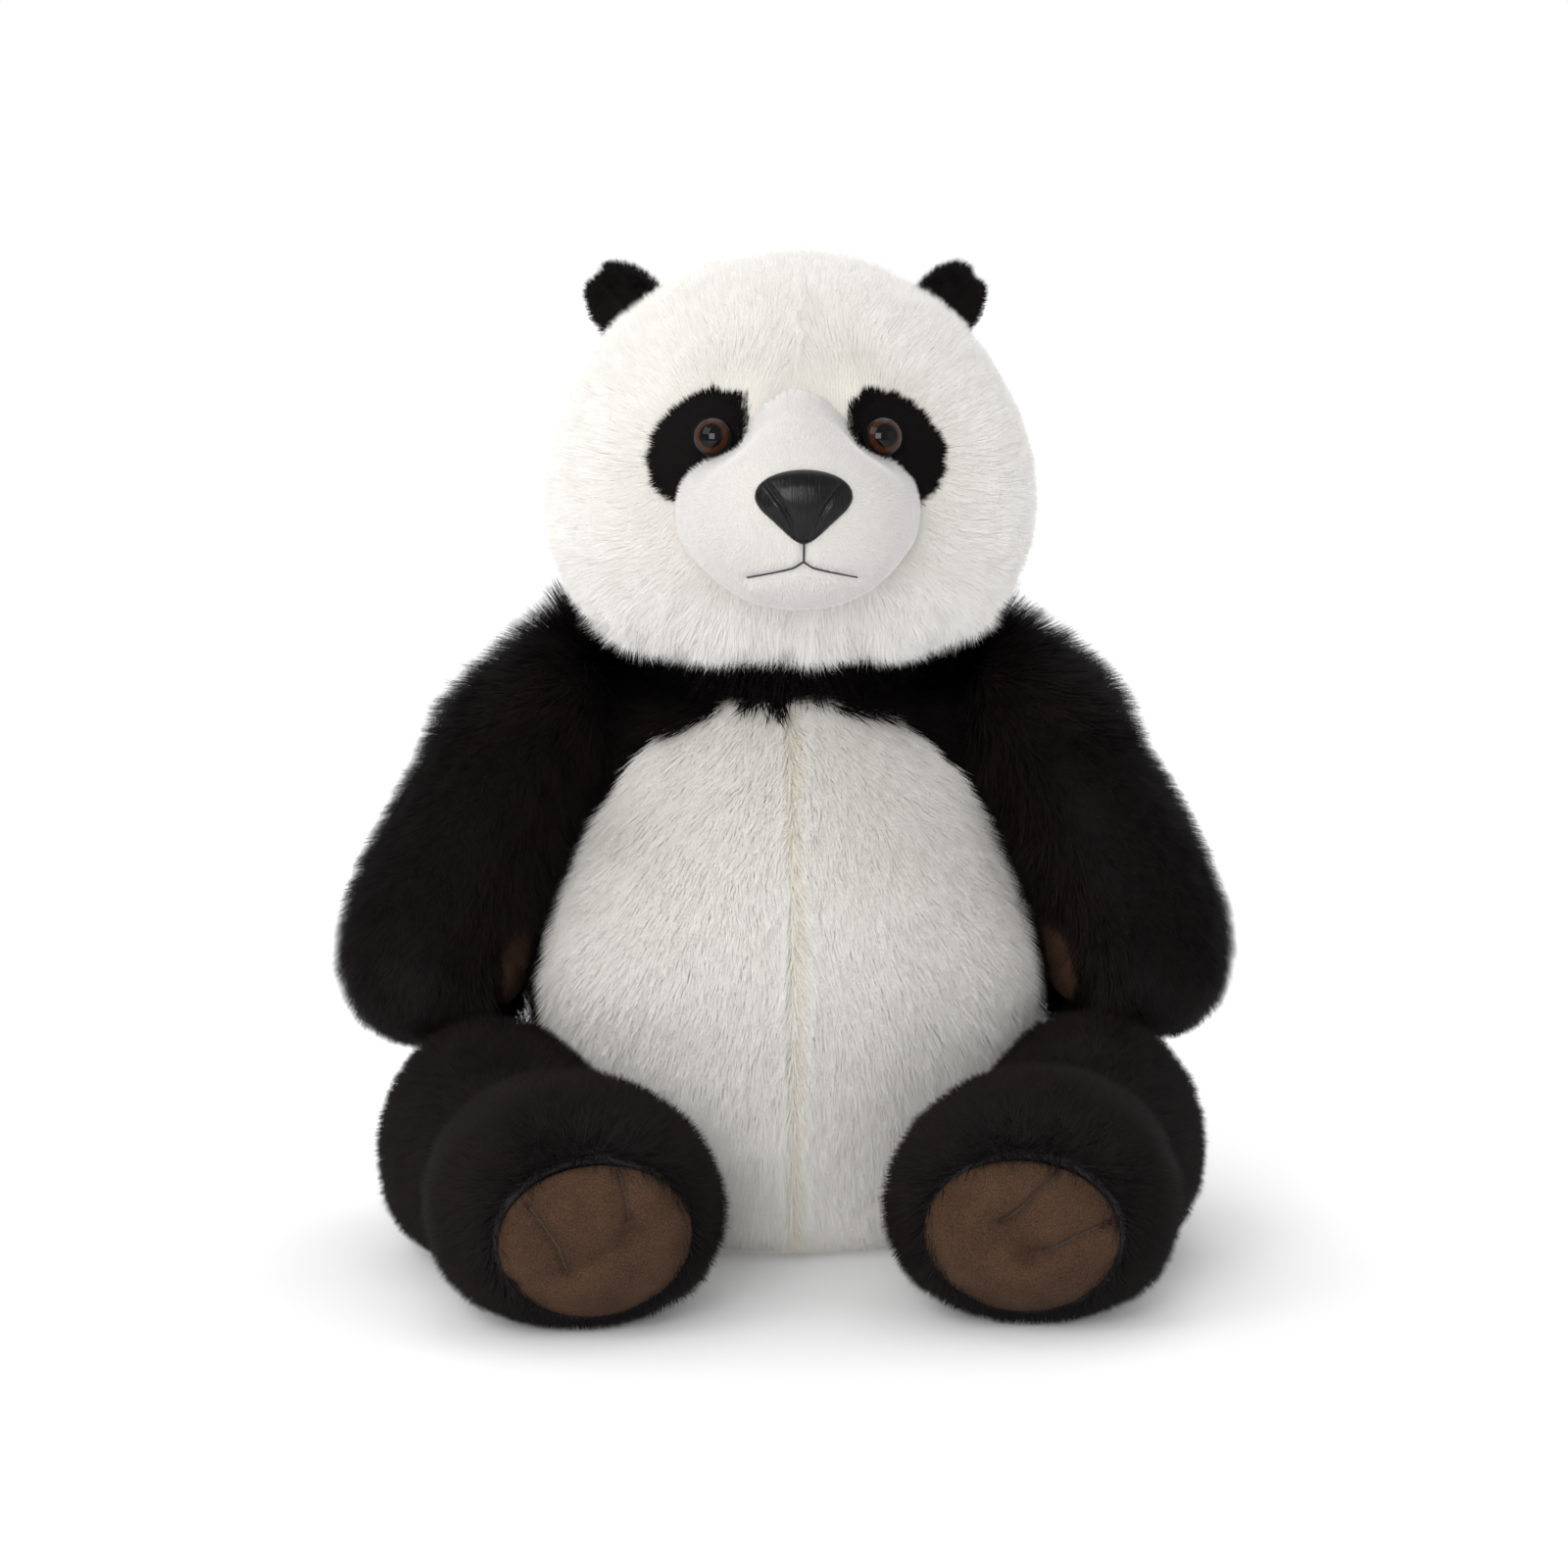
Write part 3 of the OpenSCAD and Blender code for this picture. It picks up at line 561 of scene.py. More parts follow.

# %% [markdown]
# ## Pile
# Fur fabric is a knitted backing with fibres standing out of it, combed one way.
# A hair system would not survive the export, so Geometry Nodes grow real blades: points are scattered
# over the skin, one small bent and tapered blade stands on each, and two noises turn neighbouring
# blades together into soft clumps.
# Every blade carries its own tone and its rise from root to tip in a UV map, so
# one simple material can paint shade at the roots, where fibres shade each other, and vary the fibres.

# %% The tree that grows pile
def pile_tree():
    tree = bpy.data.node_groups.new("pile", "GeometryNodeTree")
    grow = Maker(tree)
    kinds = {
        "Skin": "Geometry", "Density": "Float", "Length": "Float", "Width": "Float", "Lean": "Float",
        "Tousle": "Float", "Clump": "Float", "Seed": "Int", "Rings": "Int", "Material": "Material",
    }
    for label, kind in kinds.items():
        tree.interface.new_socket(label, in_out="INPUT", socket_type=f"NodeSocket{kind}")
    tree.interface.new_socket("Pile", in_out="OUTPUT", socket_type="NodeSocketGeometry")
    entry = grow.node("NodeGroupInput").socket.node
    given = {label: Value(grow, entry.outputs[label]) for label in kinds}

    def attribute(name, kind="FLOAT"):
        return grow.node("GeometryNodeInputNamedAttribute", {"data_type": kind}, {"Name": name})

    def chance(low, high, offset):
        sockets = {2: low, 3: high, "Seed": given["Seed"] + offset}
        return grow.node("FunctionNodeRandomValue", {"data_type": "FLOAT"}, sockets, out=1)

    scatter = grow.node(
        "GeometryNodeDistributePointsOnFaces",
        {"distribute_method": "RANDOM"},
        {"Mesh": given["Skin"], "Density": given["Density"] * attribute("pile"), "Seed": given["Seed"]},
    ).socket.node
    points, normal = Value(grow, scatter.outputs["Points"]), Value(grow, scatter.outputs["Normal"])

    # one blade: a strip along X, tapered to a point and bent over by the lean angle
    strip = grow.node("GeometryNodeMeshGrid", {}, {0: 1.0, 1: 1.0, 2: given["Rings"], 3: 2})
    x, y, z = grow.xyz(grow.node("GeometryNodeInputPosition"))
    rise = x + 0.5
    first = given["Lean"] * 0.55
    half, rest = rise.math("MINIMUM", 0.5), (rise - 0.5).math("MAXIMUM", 0.0)
    ahead = half * first.math("SINE") + rest * given["Lean"].math("SINE")
    up = half * first.math("COSINE") + rest * given["Lean"].math("COSINE")
    across = y * given["Width"] / given["Length"] * (1.0 - rise**2.2)
    bent = grow.node("ShaderNodeCombineXYZ", {}, {0: ahead, 1: across, 2: up})
    marked = grow.node(
        "GeometryNodeStoreNamedAttribute",
        {"data_type": "FLOAT", "domain": "POINT"},
        {"Geometry": strip, "Name": "rise", "Value": rise},
    )
    blade = grow.node("GeometryNodeSetPosition", {}, {"Geometry": marked, "Position": bent})
    blade = grow.node("GeometryNodeMergeByDistance", {}, {"Geometry": blade, "Distance": 0.001})

    where = grow.node("GeometryNodeInputPosition")
    swirl = grow.vector("SUBTRACT", grow.noise(given["Clump"], 2, where, out=1), (0.5, 0.5, 0.5))
    tuft = grow.vector("SUBTRACT", grow.noise(given["Clump"] * 4.0, 1, where, out=1), (0.5, 0.5, 0.5))
    stray = grow.node(
        "FunctionNodeRandomValue",
        {"data_type": "FLOAT_VECTOR"},
        {0: (-0.5, -0.5, -0.5), 1: (0.5, 0.5, 0.5), "Seed": given["Seed"] + 1},
    )
    wander = grow.vector("ADD", grow.vector("ADD", swirl, grow.vector("SCALE", tuft, Scale=0.9)),
                         grow.vector("SCALE", stray, Scale=0.45))
    wander = grow.vector("SCALE", wander, Scale=given["Tousle"])
    combed = grow.vector("ADD", attribute("comb", "FLOAT_VECTOR"), wander)
    stood = grow.vector("ADD", normal, grow.vector("SCALE", wander, Scale=0.35))
    facing = grow.node(
        "FunctionNodeAxesToRotation",
        {"primary_axis": "Z", "secondary_axis": "X"},
        {"Primary Axis": stood, "Secondary Axis": combed},
    )
    size = given["Length"] * attribute("long") * chance(0.68, 1.1, 2)
    size = size * (0.8 + 0.4 * grow.noise(given["Clump"] * 3.0, 1, where))
    standing = grow.node(
        "GeometryNodeInstanceOnPoints",
        {},
        {"Points": points, "Instance": blade, "Rotation": facing, "Scale": size},
    )
    tone = chance(0.0, 0.5, 3) + 0.5 * grow.noise(given["Clump"] * 1.5, 2, where)
    toned = grow.node(
        "GeometryNodeStoreNamedAttribute",
        {"data_type": "FLOAT", "domain": "INSTANCE"},
        {"Geometry": standing, "Name": "tone", "Value": tone},
    )
    kept = grow.node(
        "GeometryNodeStoreNamedAttribute",
        {"data_type": "FLOAT_VECTOR", "domain": "INSTANCE"},
        {"Geometry": toned, "Name": "skin_normal", "Value": normal},
    )
    real = grow.node("GeometryNodeRealizeInstances", {}, {"Geometry": kept})
    uv = grow.node("ShaderNodeCombineXYZ", {}, {0: attribute("tone"), 1: 0.02 + 0.96 * attribute("rise")})
    mapped = grow.node(
        "GeometryNodeStoreNamedAttribute",
        {"data_type": "FLOAT2", "domain": "CORNER"},
        {"Geometry": real, "Name": "OFBake", "Value": uv},
    )
    done = grow.node("GeometryNodeSetMaterial", {}, {"Geometry": mapped, "Material": given["Material"]})
    grow.node("NodeGroupOutput", {}, {"Pile": done})
    return tree


PILE = pile_tree()
print("pile tree with", len(PILE.nodes), "nodes")

# %% [markdown]
# The tree needs to know, all over a skin, where pile grows, how long it is and
# which way it is combed. Those are written on the skin as attributes first, and
# after growing, the blades are shaded partly with the normal of the skin that
# they stand on, which is what makes thousands of flat blades read as soft fur.

# %% Growing a piece of pile
def write_attribute(mesh, name, kind, values):
    if name in mesh.attributes:
        mesh.attributes.remove(mesh.attributes[name])
    attribute = mesh.attributes.new(name, kind, "POINT")
    key = "vector" if kind == "FLOAT_VECTOR" else "value"
    attribute.data.foreach_set(key, np.ascontiguousarray(values, np.float32).ravel())


def as_points(value, count, width=1):
    return np.broadcast_to(np.asarray(value, np.float32), (count, width) if width > 1 else (count,))


def grow_pile(name, skin, where, comb, material, count, length, width, long=None, lean=62, tousle=1.0,
              clump=55, seed=1, soft=0.6, rings=2):
    """Grows about count blades where where() is above 0, and returns them as one mesh piece."""
    mesh = skin.data.copy()
    points = places(mesh) / mm
    n = len(points)
    mask = np.clip(as_points(where(points), n), 0, 1)
    write_attribute(mesh, "pile", "FLOAT", mask)
    write_attribute(mesh, "long", "FLOAT", as_points(1.0 if long is None else long(points), n))
    write_attribute(mesh, "comb", "FLOAT_VECTOR", as_points(comb(points), n, 3))
    covered = [(f.area, mask[list(f.vertices)]) for f in mesh.polygons]
    area = sum(size * float(share.mean()) for size, share in covered if share.any())
    patch = new_piece(name, mesh)
    modifier = patch.modifiers.new("pile", "NODES")
    modifier.node_group = PILE
    settings = {
        "Density": count / area, "Length": length * mm, "Width": width * mm, "Lean": math.radians(lean),
        "Tousle": tousle, "Clump": clump, "Seed": seed, "Rings": rings, "Material": material,
    }
    for item in PILE.interface.items_tree:
        if item.in_out == "INPUT" and item.name in settings:
            kind = {"NodeSocketFloat": float, "NodeSocketInt": int}.get(item.socket_type)
            modifier[item.identifier] = kind(settings[item.name]) if kind else settings[item.name]
    grown = settled(patch)
    tips = places(grown).copy()
    tips[:, 2] = np.maximum(tips[:, 2], 0.0002)
    grown.vertices.foreach_set("co", tips.ravel())
    root = np.empty(len(grown.vertices) * 3, np.float32)
    grown.attributes["skin_normal"].data.foreach_get("vector", root)
    own = np.empty(len(grown.vertices) * 3, np.float32)
    grown.vertex_normals.foreach_get("vector", own)
    mixed = root.reshape(-1, 3) * soft + own.reshape(-1, 3) * (1 - soft)
    mixed /= np.maximum(np.linalg.norm(mixed, axis=1, keepdims=True), 1e-6)
    grown.normals_split_custom_set_from_vertices(mixed.tolist())
    for extra in ("skin_normal", "tone", "rise", "pile", "long", "comb"):
        if extra in grown.attributes:
            grown.attributes.remove(grown.attributes[extra])
    print(f"{name}: {len(grown.polygons)} faces over {area * 1e4:.0f} cm2")
    return patch


def pile_paint(name, root, tip, roughness, contrast=0.45, gloss=0.18):
    """Painted shade darkens a fibre towards its root, where the fibres shade each other; some fibres are
    lighter than others at random.
    """
    paint = Paint(name)
    tone, rise, _ = paint.xyz(paint.node("ShaderNodeUVMap", {"uv_map": "OFBake"}))
    # painted shade: each blade's colour runs from the darker root to its tip
    along = (0.12 + 0.88 * rise) * (1.0 - contrast + contrast * 1.6 * tone)
    return paint.finish(
        Base_Color=paint.mix(along.math("MINIMUM", 1.0), root, tip),
        Roughness=roughness,
        Specular_IOR_Level=gloss,
    )


# Each root colour is the tip's colour darkened with painted shade.
white_pile = pile_paint("white_pile", (0.72, 0.69, 0.625), (0.955, 0.945, 0.925), 0.8)
cream_pile = pile_paint("cream_pile", (0.68, 0.61, 0.46), (0.92, 0.885, 0.79), 0.8)
# The black pile's lighter tips and strong contrast are partly random tone and partly painted sheen on the
# tufts.
black_pile = pile_paint("black_pile", (0.0018, 0.0016, 0.0016), (0.0135, 0.0100, 0.0098), 0.55, 0.85, 0.08)
patch_pile = pile_paint("patch_pile", (0.0018, 0.0016, 0.0016), (0.009, 0.007, 0.007), 0.6, 0.5, 0.05)
white_velour = pile_paint("white_velour", (0.60, 0.575, 0.55), (0.90, 0.888, 0.875), 0.85)
print("pile paints ready")

# %% [markdown]
# ## Knitted backing
# Between the fibres the knitted backing shows a little. It is a fine rib, white
# under the white fur and black under the black, so each skin needs to know where
# its two fabrics meet. That is an attribute on the skin, from 0 black to 1 white.

# %% Backing fabric
def backing(name):
    paint = Paint(name)
    light = paint.node("ShaderNodeAttribute", {"attribute_name": "light"}, out=2)
    # The white is darker than the tips of the white pile: painted shade under the fibres.
    colour = paint.mix(light, (0.006, 0.005, 0.005), (0.80, 0.77, 0.71))
    rib = paint.node(
        "ShaderNodeTexWave",
        {"bands_direction": "X", "wave_type": "BANDS"},
        {"Vector": paint.place(), "Scale": 260.0, "Distortion": 1.5, "Detail": 1.0},
    )
    cloudy = paint.noise(90, 3)
    # A cloudy painted shade darkens the white backing in patches.
    shade = paint.mix(0.25 * cloudy, colour, (0.3, 0.28, 0.26))
    return paint.finish(
        Base_Color=paint.mix(light, colour, shade),
        Roughness=0.9,
        Normal=paint.bump(rib + 0.5 * cloudy, 0.4, 0.0004),
    )


knit = backing("knitted_backing")

HANDS = {"left": 1, "right": -1}


def soft_step(value, edge, width):
    t = np.clip((value - edge) / width + 0.5, 0, 1)
    return t * t * (3 - 2 * t)


def torso_angle(p):
    """Angle around the torso from its front seam, 0 to 180 on either side."""
    return np.abs((np.degrees(np.arctan2(p[:, 1] / 95, p[:, 0] / 103)) + 270) % 360 - 180)


belly_spread, belly_shoulder, belly_point = 70, 148, 230
back_spread, yoke_back = 110, 156


def white_torso(p):
    """1 on the white belly and back, 0 on the black sides and yoke."""
    turn = torso_angle(p)
    share = np.minimum(turn / belly_spread, 1)
    ragged = 2.0 * np.sin(p[:, 0] / 5.3) + 1.5 * np.sin(p[:, 0] / 2.1 + 1)
    edge = blend(belly_shoulder, belly_point, np.sqrt(np.maximum(1 - share**3, 0)))
    front = soft_step(edge + ragged - p[:, 2], 0, 3) * soft_step(belly_spread - turn, 0, 2)
    back = soft_step(yoke_back + ragged - p[:, 2], 0, 3) * soft_step(turn, back_spread, 2)
    return np.maximum(front, back)


def finish_skin(skin, body, slot, light, *nodes, fill=0.6):
    points = places(skin.data) / mm
    shade = light(points) if callable(light) else light
    write_attribute(skin.data, "light", "FLOAT", as_points(shade, len(points)))
    skin.data.materials.clear()
    skin.data.materials.append(knit)
    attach(skin, body)
    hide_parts(*nodes)


def add_pile(name, body, slot, *args, **options):
    pile = grow_pile(name, *args, **options)
    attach(pile, body)
    return pile


both = ("left", "right")
finish_skin(
    torso, "torso", "white_pile", white_torso,
    "seat_panel", "chest_yoke", "back_yoke", "torso_filling", "pellet_bag",
    *[f"{panel}_{hand}" for panel in ("belly", "side", "back") for hand in both],
)
spread = places(torso.data).max(0) - places(torso.data).min(0)
print("torso covered, box in mm:", [round(x / mm) for x in spread])

# %% [markdown]
# ## Fur of the torso
# The white belly hangs straight down. Along the seam in its middle the pile
# parts, and the cream roots show. The yoke and the sides are shorter and black.

# %% Torso pile
def down(p):
    return (0.0, 0.0, -1.0)


def belly_comb(p):
    part = np.exp(-((p[:, 0] / 4.5) ** 2)) * np.sign(p[:, 0] + 1e-3)
    wave = 0.25 * np.sin(p[:, 2] / 17 + p[:, 0] / 30)
    return np.stack([part * 0.6 + wave * 0.5, 0 * part, -1 + 0 * part], 1)


def belly_only(p):
    seam = 1 - 0.7 * np.exp(-((p[:, 0] / 1.1) ** 2))
    return white_torso(p) * (p[:, 1] < 0) * seam * (p[:, 2] > 3)


def low_hem(p):
    """Shorter close to the ground, so that the pile isn't crushed into it."""
    return 0.45 + 0.55 * soft_step(p[:, 2], 14, 20)


add_pile("belly_fur", "torso", "white_pile", torso, belly_only, belly_comb, white_pile, 165000, 11, 0.38,
         long=low_hem, lean=62, tousle=0.6, clump=42, seed=3, soft=0.7)
add_pile("belly_seam_fur", "torso", "white_pile", torso,
         lambda p: (p[:, 1] < 0) * np.exp(-((p[:, 0] / 1.5) ** 2)) * (p[:, 2] < 226) * (p[:, 2] > 6),
         belly_comb, cream_pile, 7000, 7, 0.38, lean=50, tousle=1.6, clump=70, seed=4, soft=0.8)
add_pile("back_fur", "torso", "white_pile", torso,
         lambda p: white_torso(p) * (p[:, 1] >= 0) * (p[:, 2] > 3), down, white_pile, 130000, 11, 0.42,
         long=low_hem, lean=62, tousle=0.6, clump=42, seed=5, soft=0.7)


def yoke_comb(p):
    away = np.stack([p[:, 0] * 0.010, p[:, 1] * 0.006, -1 + 0 * p[:, 0]], 1)
    return away


add_pile("yoke_fur", "torso", "black_pile", torso,
         lambda p: (1 - white_torso(p)) * (p[:, 2] > 3) * (np.hypot(p[:, 0], p[:, 1]) > 20), yoke_comb,
         black_pile, 110000, 10, 0.42, long=lambda p: 0.8 + 1.3 * soft_step(p[:, 2], 215, 26), lean=56,
         tousle=0.9, clump=48, seed=6, soft=0.45)

# %% [markdown]
# ## Head
# The pile of the head starts at the muzzle and is combed away from it, up over
# the forehead, out over the cheeks and down under the jaw, where it is longest
# and hides the neck. Two patches of short black pile surround the eyes.

# %% Where the head's fabrics meet
def head_shares(p):
    a = np.abs(p[:, 0]) / head_half.x
    height = p[:, 2] - head_middle.z
    b = np.abs(height) / np.where(height > 0, head_half.z, head_down)
    power = np.where(height > 0, 2.0, 2.6)
    ring = (a**power + b**power) ** (1 / power)
    a, b = (x / np.maximum(ring, 1e-6) for x in (a, b))
    angle = np.degrees(np.arctan2(b ** (power / 2), a ** (power / 2)))
    return ring, np.where(height > 0, angle, -angle)


def from_muzzle(p):
    """Distance in mm outside the muzzle's seam, measured over the face."""
    ring, angle = head_shares(p)
    a = np.radians(angle)
    pinch = np.where(angle > 0, 0.26 * np.sin(2 * a) ** 2 + 0.11 * np.sin(a), 0)
    opening = muzzle_half / head_half.x * (1 - pinch)
    return np.where(p[:, 1] < head_middle.y - 20, (ring - opening) * head_half.x, 60)


eye_angle = math.radians(40.6)
eye_ring = opening_ring(40.6) + (8 + 3.7) / head_half.x
eye_p, eye_q = eye_ring * head_half.x * math.cos(eye_angle), eye_ring * head_half.z * math.sin(eye_angle)
patch_p, patch_q, patch_tilt = eye_p + 5, eye_q - 3.5, math.radians(52)
patch_long, patch_wide = 23, 13.5


def from_patch(p):
    """Distance in mm outside the edge of an eye patch, less than 0 on the patch."""
    dx, dz = np.abs(p[:, 0]) - patch_p, p[:, 2] - head_middle.z - patch_q
    along = -dx * math.cos(patch_tilt) + dz * math.sin(patch_tilt)
    across = dx * math.sin(patch_tilt) + dz * math.cos(patch_tilt)
    wide = patch_wide - 2.5 * along / patch_long
    ring = np.hypot(along / patch_long, across / wide)
    out = (ring - 1) * wide
    return np.where((p[:, 1] < head_middle.y) & (dz < 60), out, 60)


def dark_patch(p):
    ragged = 0.8 * np.sin(p[:, 0] / 1.7) * np.sin(p[:, 2] / 1.3)
    return soft_step(-from_patch(p) + ragged, 0, 2) * soft_step(from_muzzle(p), 1.0, 1.5)


def face_comb(p):
    """Away from the muzzle on the face, and down the back of the head."""
    front = soft_step(-p[:, 1], 10, 70)
    out = np.stack([p[:, 0], 0 * p[:, 0] + 34, p[:, 2] - (head_middle.z - 4)], 1)
    out /= np.linalg.norm(out, axis=1, keepdims=True)
    back = np.stack([p[:, 0] * 0.004, 0.35 + 0 * p[:, 0], -1 + 0 * p[:, 0]], 1)
    top = soft_step(p[:, 2], 395, 40)[:, None]
    back = back * (1 - top) + np.array([0, 1.0, 0]) * top
    jaw = soft_step(-p[:, 2], -282, 26)[:, None]
    comb = out * front[:, None] + back * (1 - front[:, None])
    inner = np.abs(p[:, 0]) < patch_p - 6
    beside = np.stack([np.abs(p[:, 0]) - patch_p, 0 * p[:, 0], p[:, 2] - head_middle.z - patch_q], 1)
    beside *= np.stack([np.sign(p[:, 0]), 0 * p[:, 0], 1 + 0 * p[:, 0]], 1) / 20
    near_patch = np.clip(1 - from_patch(p) / 14, 0, 1) * (from_patch(p) > -2)
    comb = comb + beside * (near_patch * (2.5 + 3.5 * inner))[:, None]
    return comb * (1 - jaw) + np.stack([p[:, 0] * 0.006, 0 * p[:, 0], -1 + 0 * p[:, 0]], 1) * jaw


def head_length(p):
    near_muzzle = 0.42 + 0.58 * soft_step(from_muzzle(p), 16, 26)
    inner = np.abs(p[:, 0]) < patch_p - 4
    near_patch = np.where(inner, 0.28, 0.5) + np.where(inner, 0.72, 0.5) * soft_step(from_patch(p), 7, 10)
    tufts = 0.5 + 0.5 * np.sin(p[:, 0] / 3.1) * np.sin(p[:, 0] / 7.3 + 1)
    jaw = 1 + (0.45 + 0.6 * tufts) * soft_step(-p[:, 2], -280, 24)
    forehead = 1 - 0.22 * soft_step(p[:, 2], 350, 40) * soft_step(-p[:, 1], 30, 40)
    return np.minimum(near_muzzle, near_patch) * jaw * forehead


def white_head(p):
    return soft_step(from_patch(p), 1.2, 1.2) * soft_step(from_muzzle(p), -0.5, 1.5)


finish_skin(
    head, "head", "white_pile", lambda p: 1 - dark_patch(p), "head_filling", "head_underside",
    *[f"{panel}_{hand}" for panel in ("head", "head_back", "eye_patch") for hand in both],
)

# %% [markdown]
# The fur of the face is the longest white pile of the toy, so it is grown
# separately from the back of the head, and the eye patches get their own short
# black pile.

# %% Head pile
pile_of_head = dict(lean=58, tousle=1.0, clump=45, soft=0.5)
add_pile("face_fur", "head", "white_pile", head, lambda p: white_head(p) * (p[:, 1] < -35), face_comb,
         white_pile, 190000, 12.5, 0.36, long=head_length, seed=11, **pile_of_head)
add_pile("head_back_fur", "head", "white_pile", head, lambda p: white_head(p) * (p[:, 1] >= -35), face_comb,
         white_pile, 150000, 13, 0.42, long=head_length, seed=12, **pile_of_head)


def patch_length(p):
    return 0.6 + 0.7 * soft_step(-from_patch(p), -4, 8) * soft_step(from_muzzle(p), 20, 14)


for hand, side in HANDS.items():
    add_pile(f"eye_patch_fur_{hand}", "head", "black_pile", head,
             lambda p: dark_patch(p) * (p[:, 0] * side > 0), face_comb, patch_pile, 30000, 4.6, 0.36,
             long=patch_length, lean=52, tousle=0.5, clump=60, seed=13, soft=0.6)

# %% [markdown]
# ## Muzzle
# The muzzle is velour, a pile so short that it reads as a soft sheen. It is
# grown the same way, with the pile left off under the nose and along the mouth.

# %% Muzzle pile
mouth_high, mouth_slope, mouth_wide = -0.50, 0.34, 0.43


def mouth_point(p):
    """The mouth falls gently from its middle to both corners."""
    return muzzle_tip(p, mouth_high - mouth_slope * abs(p) + 0.03 * math.exp(-((p / 0.05) ** 2)))


mouth_shares = np.linspace(-mouth_wide, mouth_wide, 61)
mouth_line = [mouth_point(p) for p in mouth_shares]
mouth_line += [muzzle_tip(0.001, q) for q in np.linspace(mouth_high, -0.2, 16)]
mouth_line = np.array([tuple(p) for p in mouth_line])

nose_half_w, nose_high, nose_q = 19, 29, 0.16
nose_rise = nose_high / (muzzle_half * muzzle_upper)


def nose_outline(a, grown=1.0):
    c, s = math.cos(a), math.sin(a)
    pinch = 1 - 0.5 * (-s) ** 1.5 if s < 0 else 1 - 0.08 * s
    lift = 0.36 * s**0.75 if s > 0 else 0.58 * s
    return grown * nose_half_w / muzzle_half * c * pinch, nose_q + grown * nose_rise * lift


under_nose = 0.86  # the share of the nose's outline that stays bare
nose_rim = [muzzle_tip(*nose_outline(math.radians(a), under_nose)) for a in range(0, 360, 6)]
nose_ring = np.array([(p.x, p.z) for p in nose_rim])


def bare(p):
    """1 where velour grows, 0 on the nose and in the line of the mouth."""
    gap = np.min(np.linalg.norm(p[:, None, :] - mouth_line[None], axis=2), axis=1)
    x, z = p[:, 0, None], p[:, 2, None]
    x0, z0 = nose_ring[:, 0][None], nose_ring[:, 1][None]
    x1, z1 = np.roll(nose_ring[:, 0], -1)[None], np.roll(nose_ring[:, 1], -1)[None]
    crossed = ((z0 > z) != (z1 > z)) & (x < (x1 - x0) * (z - z0) / (z1 - z0 + 1e-9) + x0)
    inside = (crossed.sum(1) % 2 == 1) & (p[:, 1] < -125)
    return soft_step(gap, 0.7, 0.8) * (1 - inside)


def muzzle_comb(p):
    return np.stack([p[:, 0], 0 * p[:, 0] + 40, p[:, 2] - 322], 1) / 50


def velour_length(p):
    """Longer along the bridge, where the velour runs into the fur of the forehead."""
    return 0.8 + 1.7 * soft_step(p[:, 1], -112, 16) * soft_step(p[:, 2], 322, 20)


crease_deep, crease_wide = 1.6, 2.4
points = places(muzzle.data).copy()
normals = np.empty(points.size, np.float32)
muzzle.data.vertex_normals.foreach_get("vector", normals)
gap = np.min(np.linalg.norm(points[:, None, :] / mm - mouth_line[None], axis=2), axis=1)
points -= normals.reshape(-1, 3) * (crease_deep * mm * np.exp(-((gap / crease_wide) ** 2)))[:, None]
muzzle.data.vertices.foreach_set("co", points.ravel())
finish_skin(
    muzzle, "head", "white_velour", 1.0, "muzzle_filling", "chin", "muzzle_left", "muzzle_right", fill=0.8
)
add_pile("muzzle_velour", "head", "white_velour", muzzle, bare, muzzle_comb, white_velour, 100000, 3.0, 0.3,
         long=velour_length, lean=56, tousle=0.9, clump=60, seed=21, soft=0.75)

# %% [markdown]
# ## Limbs and tail
# Arms and legs are black pile combed along them towards the paws. The pile stops
# at the suede of the soles and of the hand pads.

# %% Limb pile
def along_spine(spine, side):
    steps = [i / 24 for i in range(25)]
    at = np.array([tuple(spine_at(spine, t)) for t in steps])
    to = np.array([tuple(spine_slope(spine, t)) for t in steps])

    def comb(p):
        q = p * np.array([side, 1, 1])
        nearest = np.argmin(np.linalg.norm(q[:, None, :] - at[None], axis=2), axis=1)
        return to[nearest] * np.array([side, 1, 1])

    return comb


sole_edge, sole_tilt = 0.952, 0.020


def sole_line(angle):
    return sole_edge + sole_tilt * math.sin(math.radians(angle))


sole_front = np.array([tuple(leg_form(a, sole_line(a))) for a in range(0, 360, 5)])
sole_plane = sole_front.mean(0)
sole_out = np.array(tuple(spine_slope(leg_spine, 1.0)))
pad_u, pad_v, pad_ru, pad_rv = -22, 0.80, 30, 0.125
pad_middle = np.array(tuple(arm_form(pad_u, pad_v)))


def off_sole(p, side):
    """Distance in mm behind the plane of a sole's edge."""
    q = p * np.array([side, 1, 1])
    tilt = sole_out + np.array([0, 0, -0.10])
    return -(q - sole_plane) @ (tilt / np.linalg.norm(tilt))


def off_pad(p, side):
    q = p * np.array([side, 1, 1])
    return np.linalg.norm((q - pad_middle) / np.array([17.0, 17.0, 20.0]), axis=1)


behind_sole = 7.5  # how far the leg's skin steps back to make room for the sole


def arm_length(p, side):
    """Longer at the shoulder, and on the inner side, where it fills the gap to the body."""
    middle = np.interp(-p[:, 2], [-229, -151, -85], [100, 148, 158])
    inner = soft_step(middle - p[:, 0] * side, 14, 22)
    return 0.85 + 0.9 * soft_step(p[:, 2], 215, 30) + 1.4 * inner * soft_step(off_pad(p, side), 1.5, 0.6)


def leg_comb(side):
    """Back from the sole and down."""
    along = along_spine(leg_spine, side)

    def comb(p):
        return -0.8 * along(p) + np.array([0, 0, -0.8])

    return comb


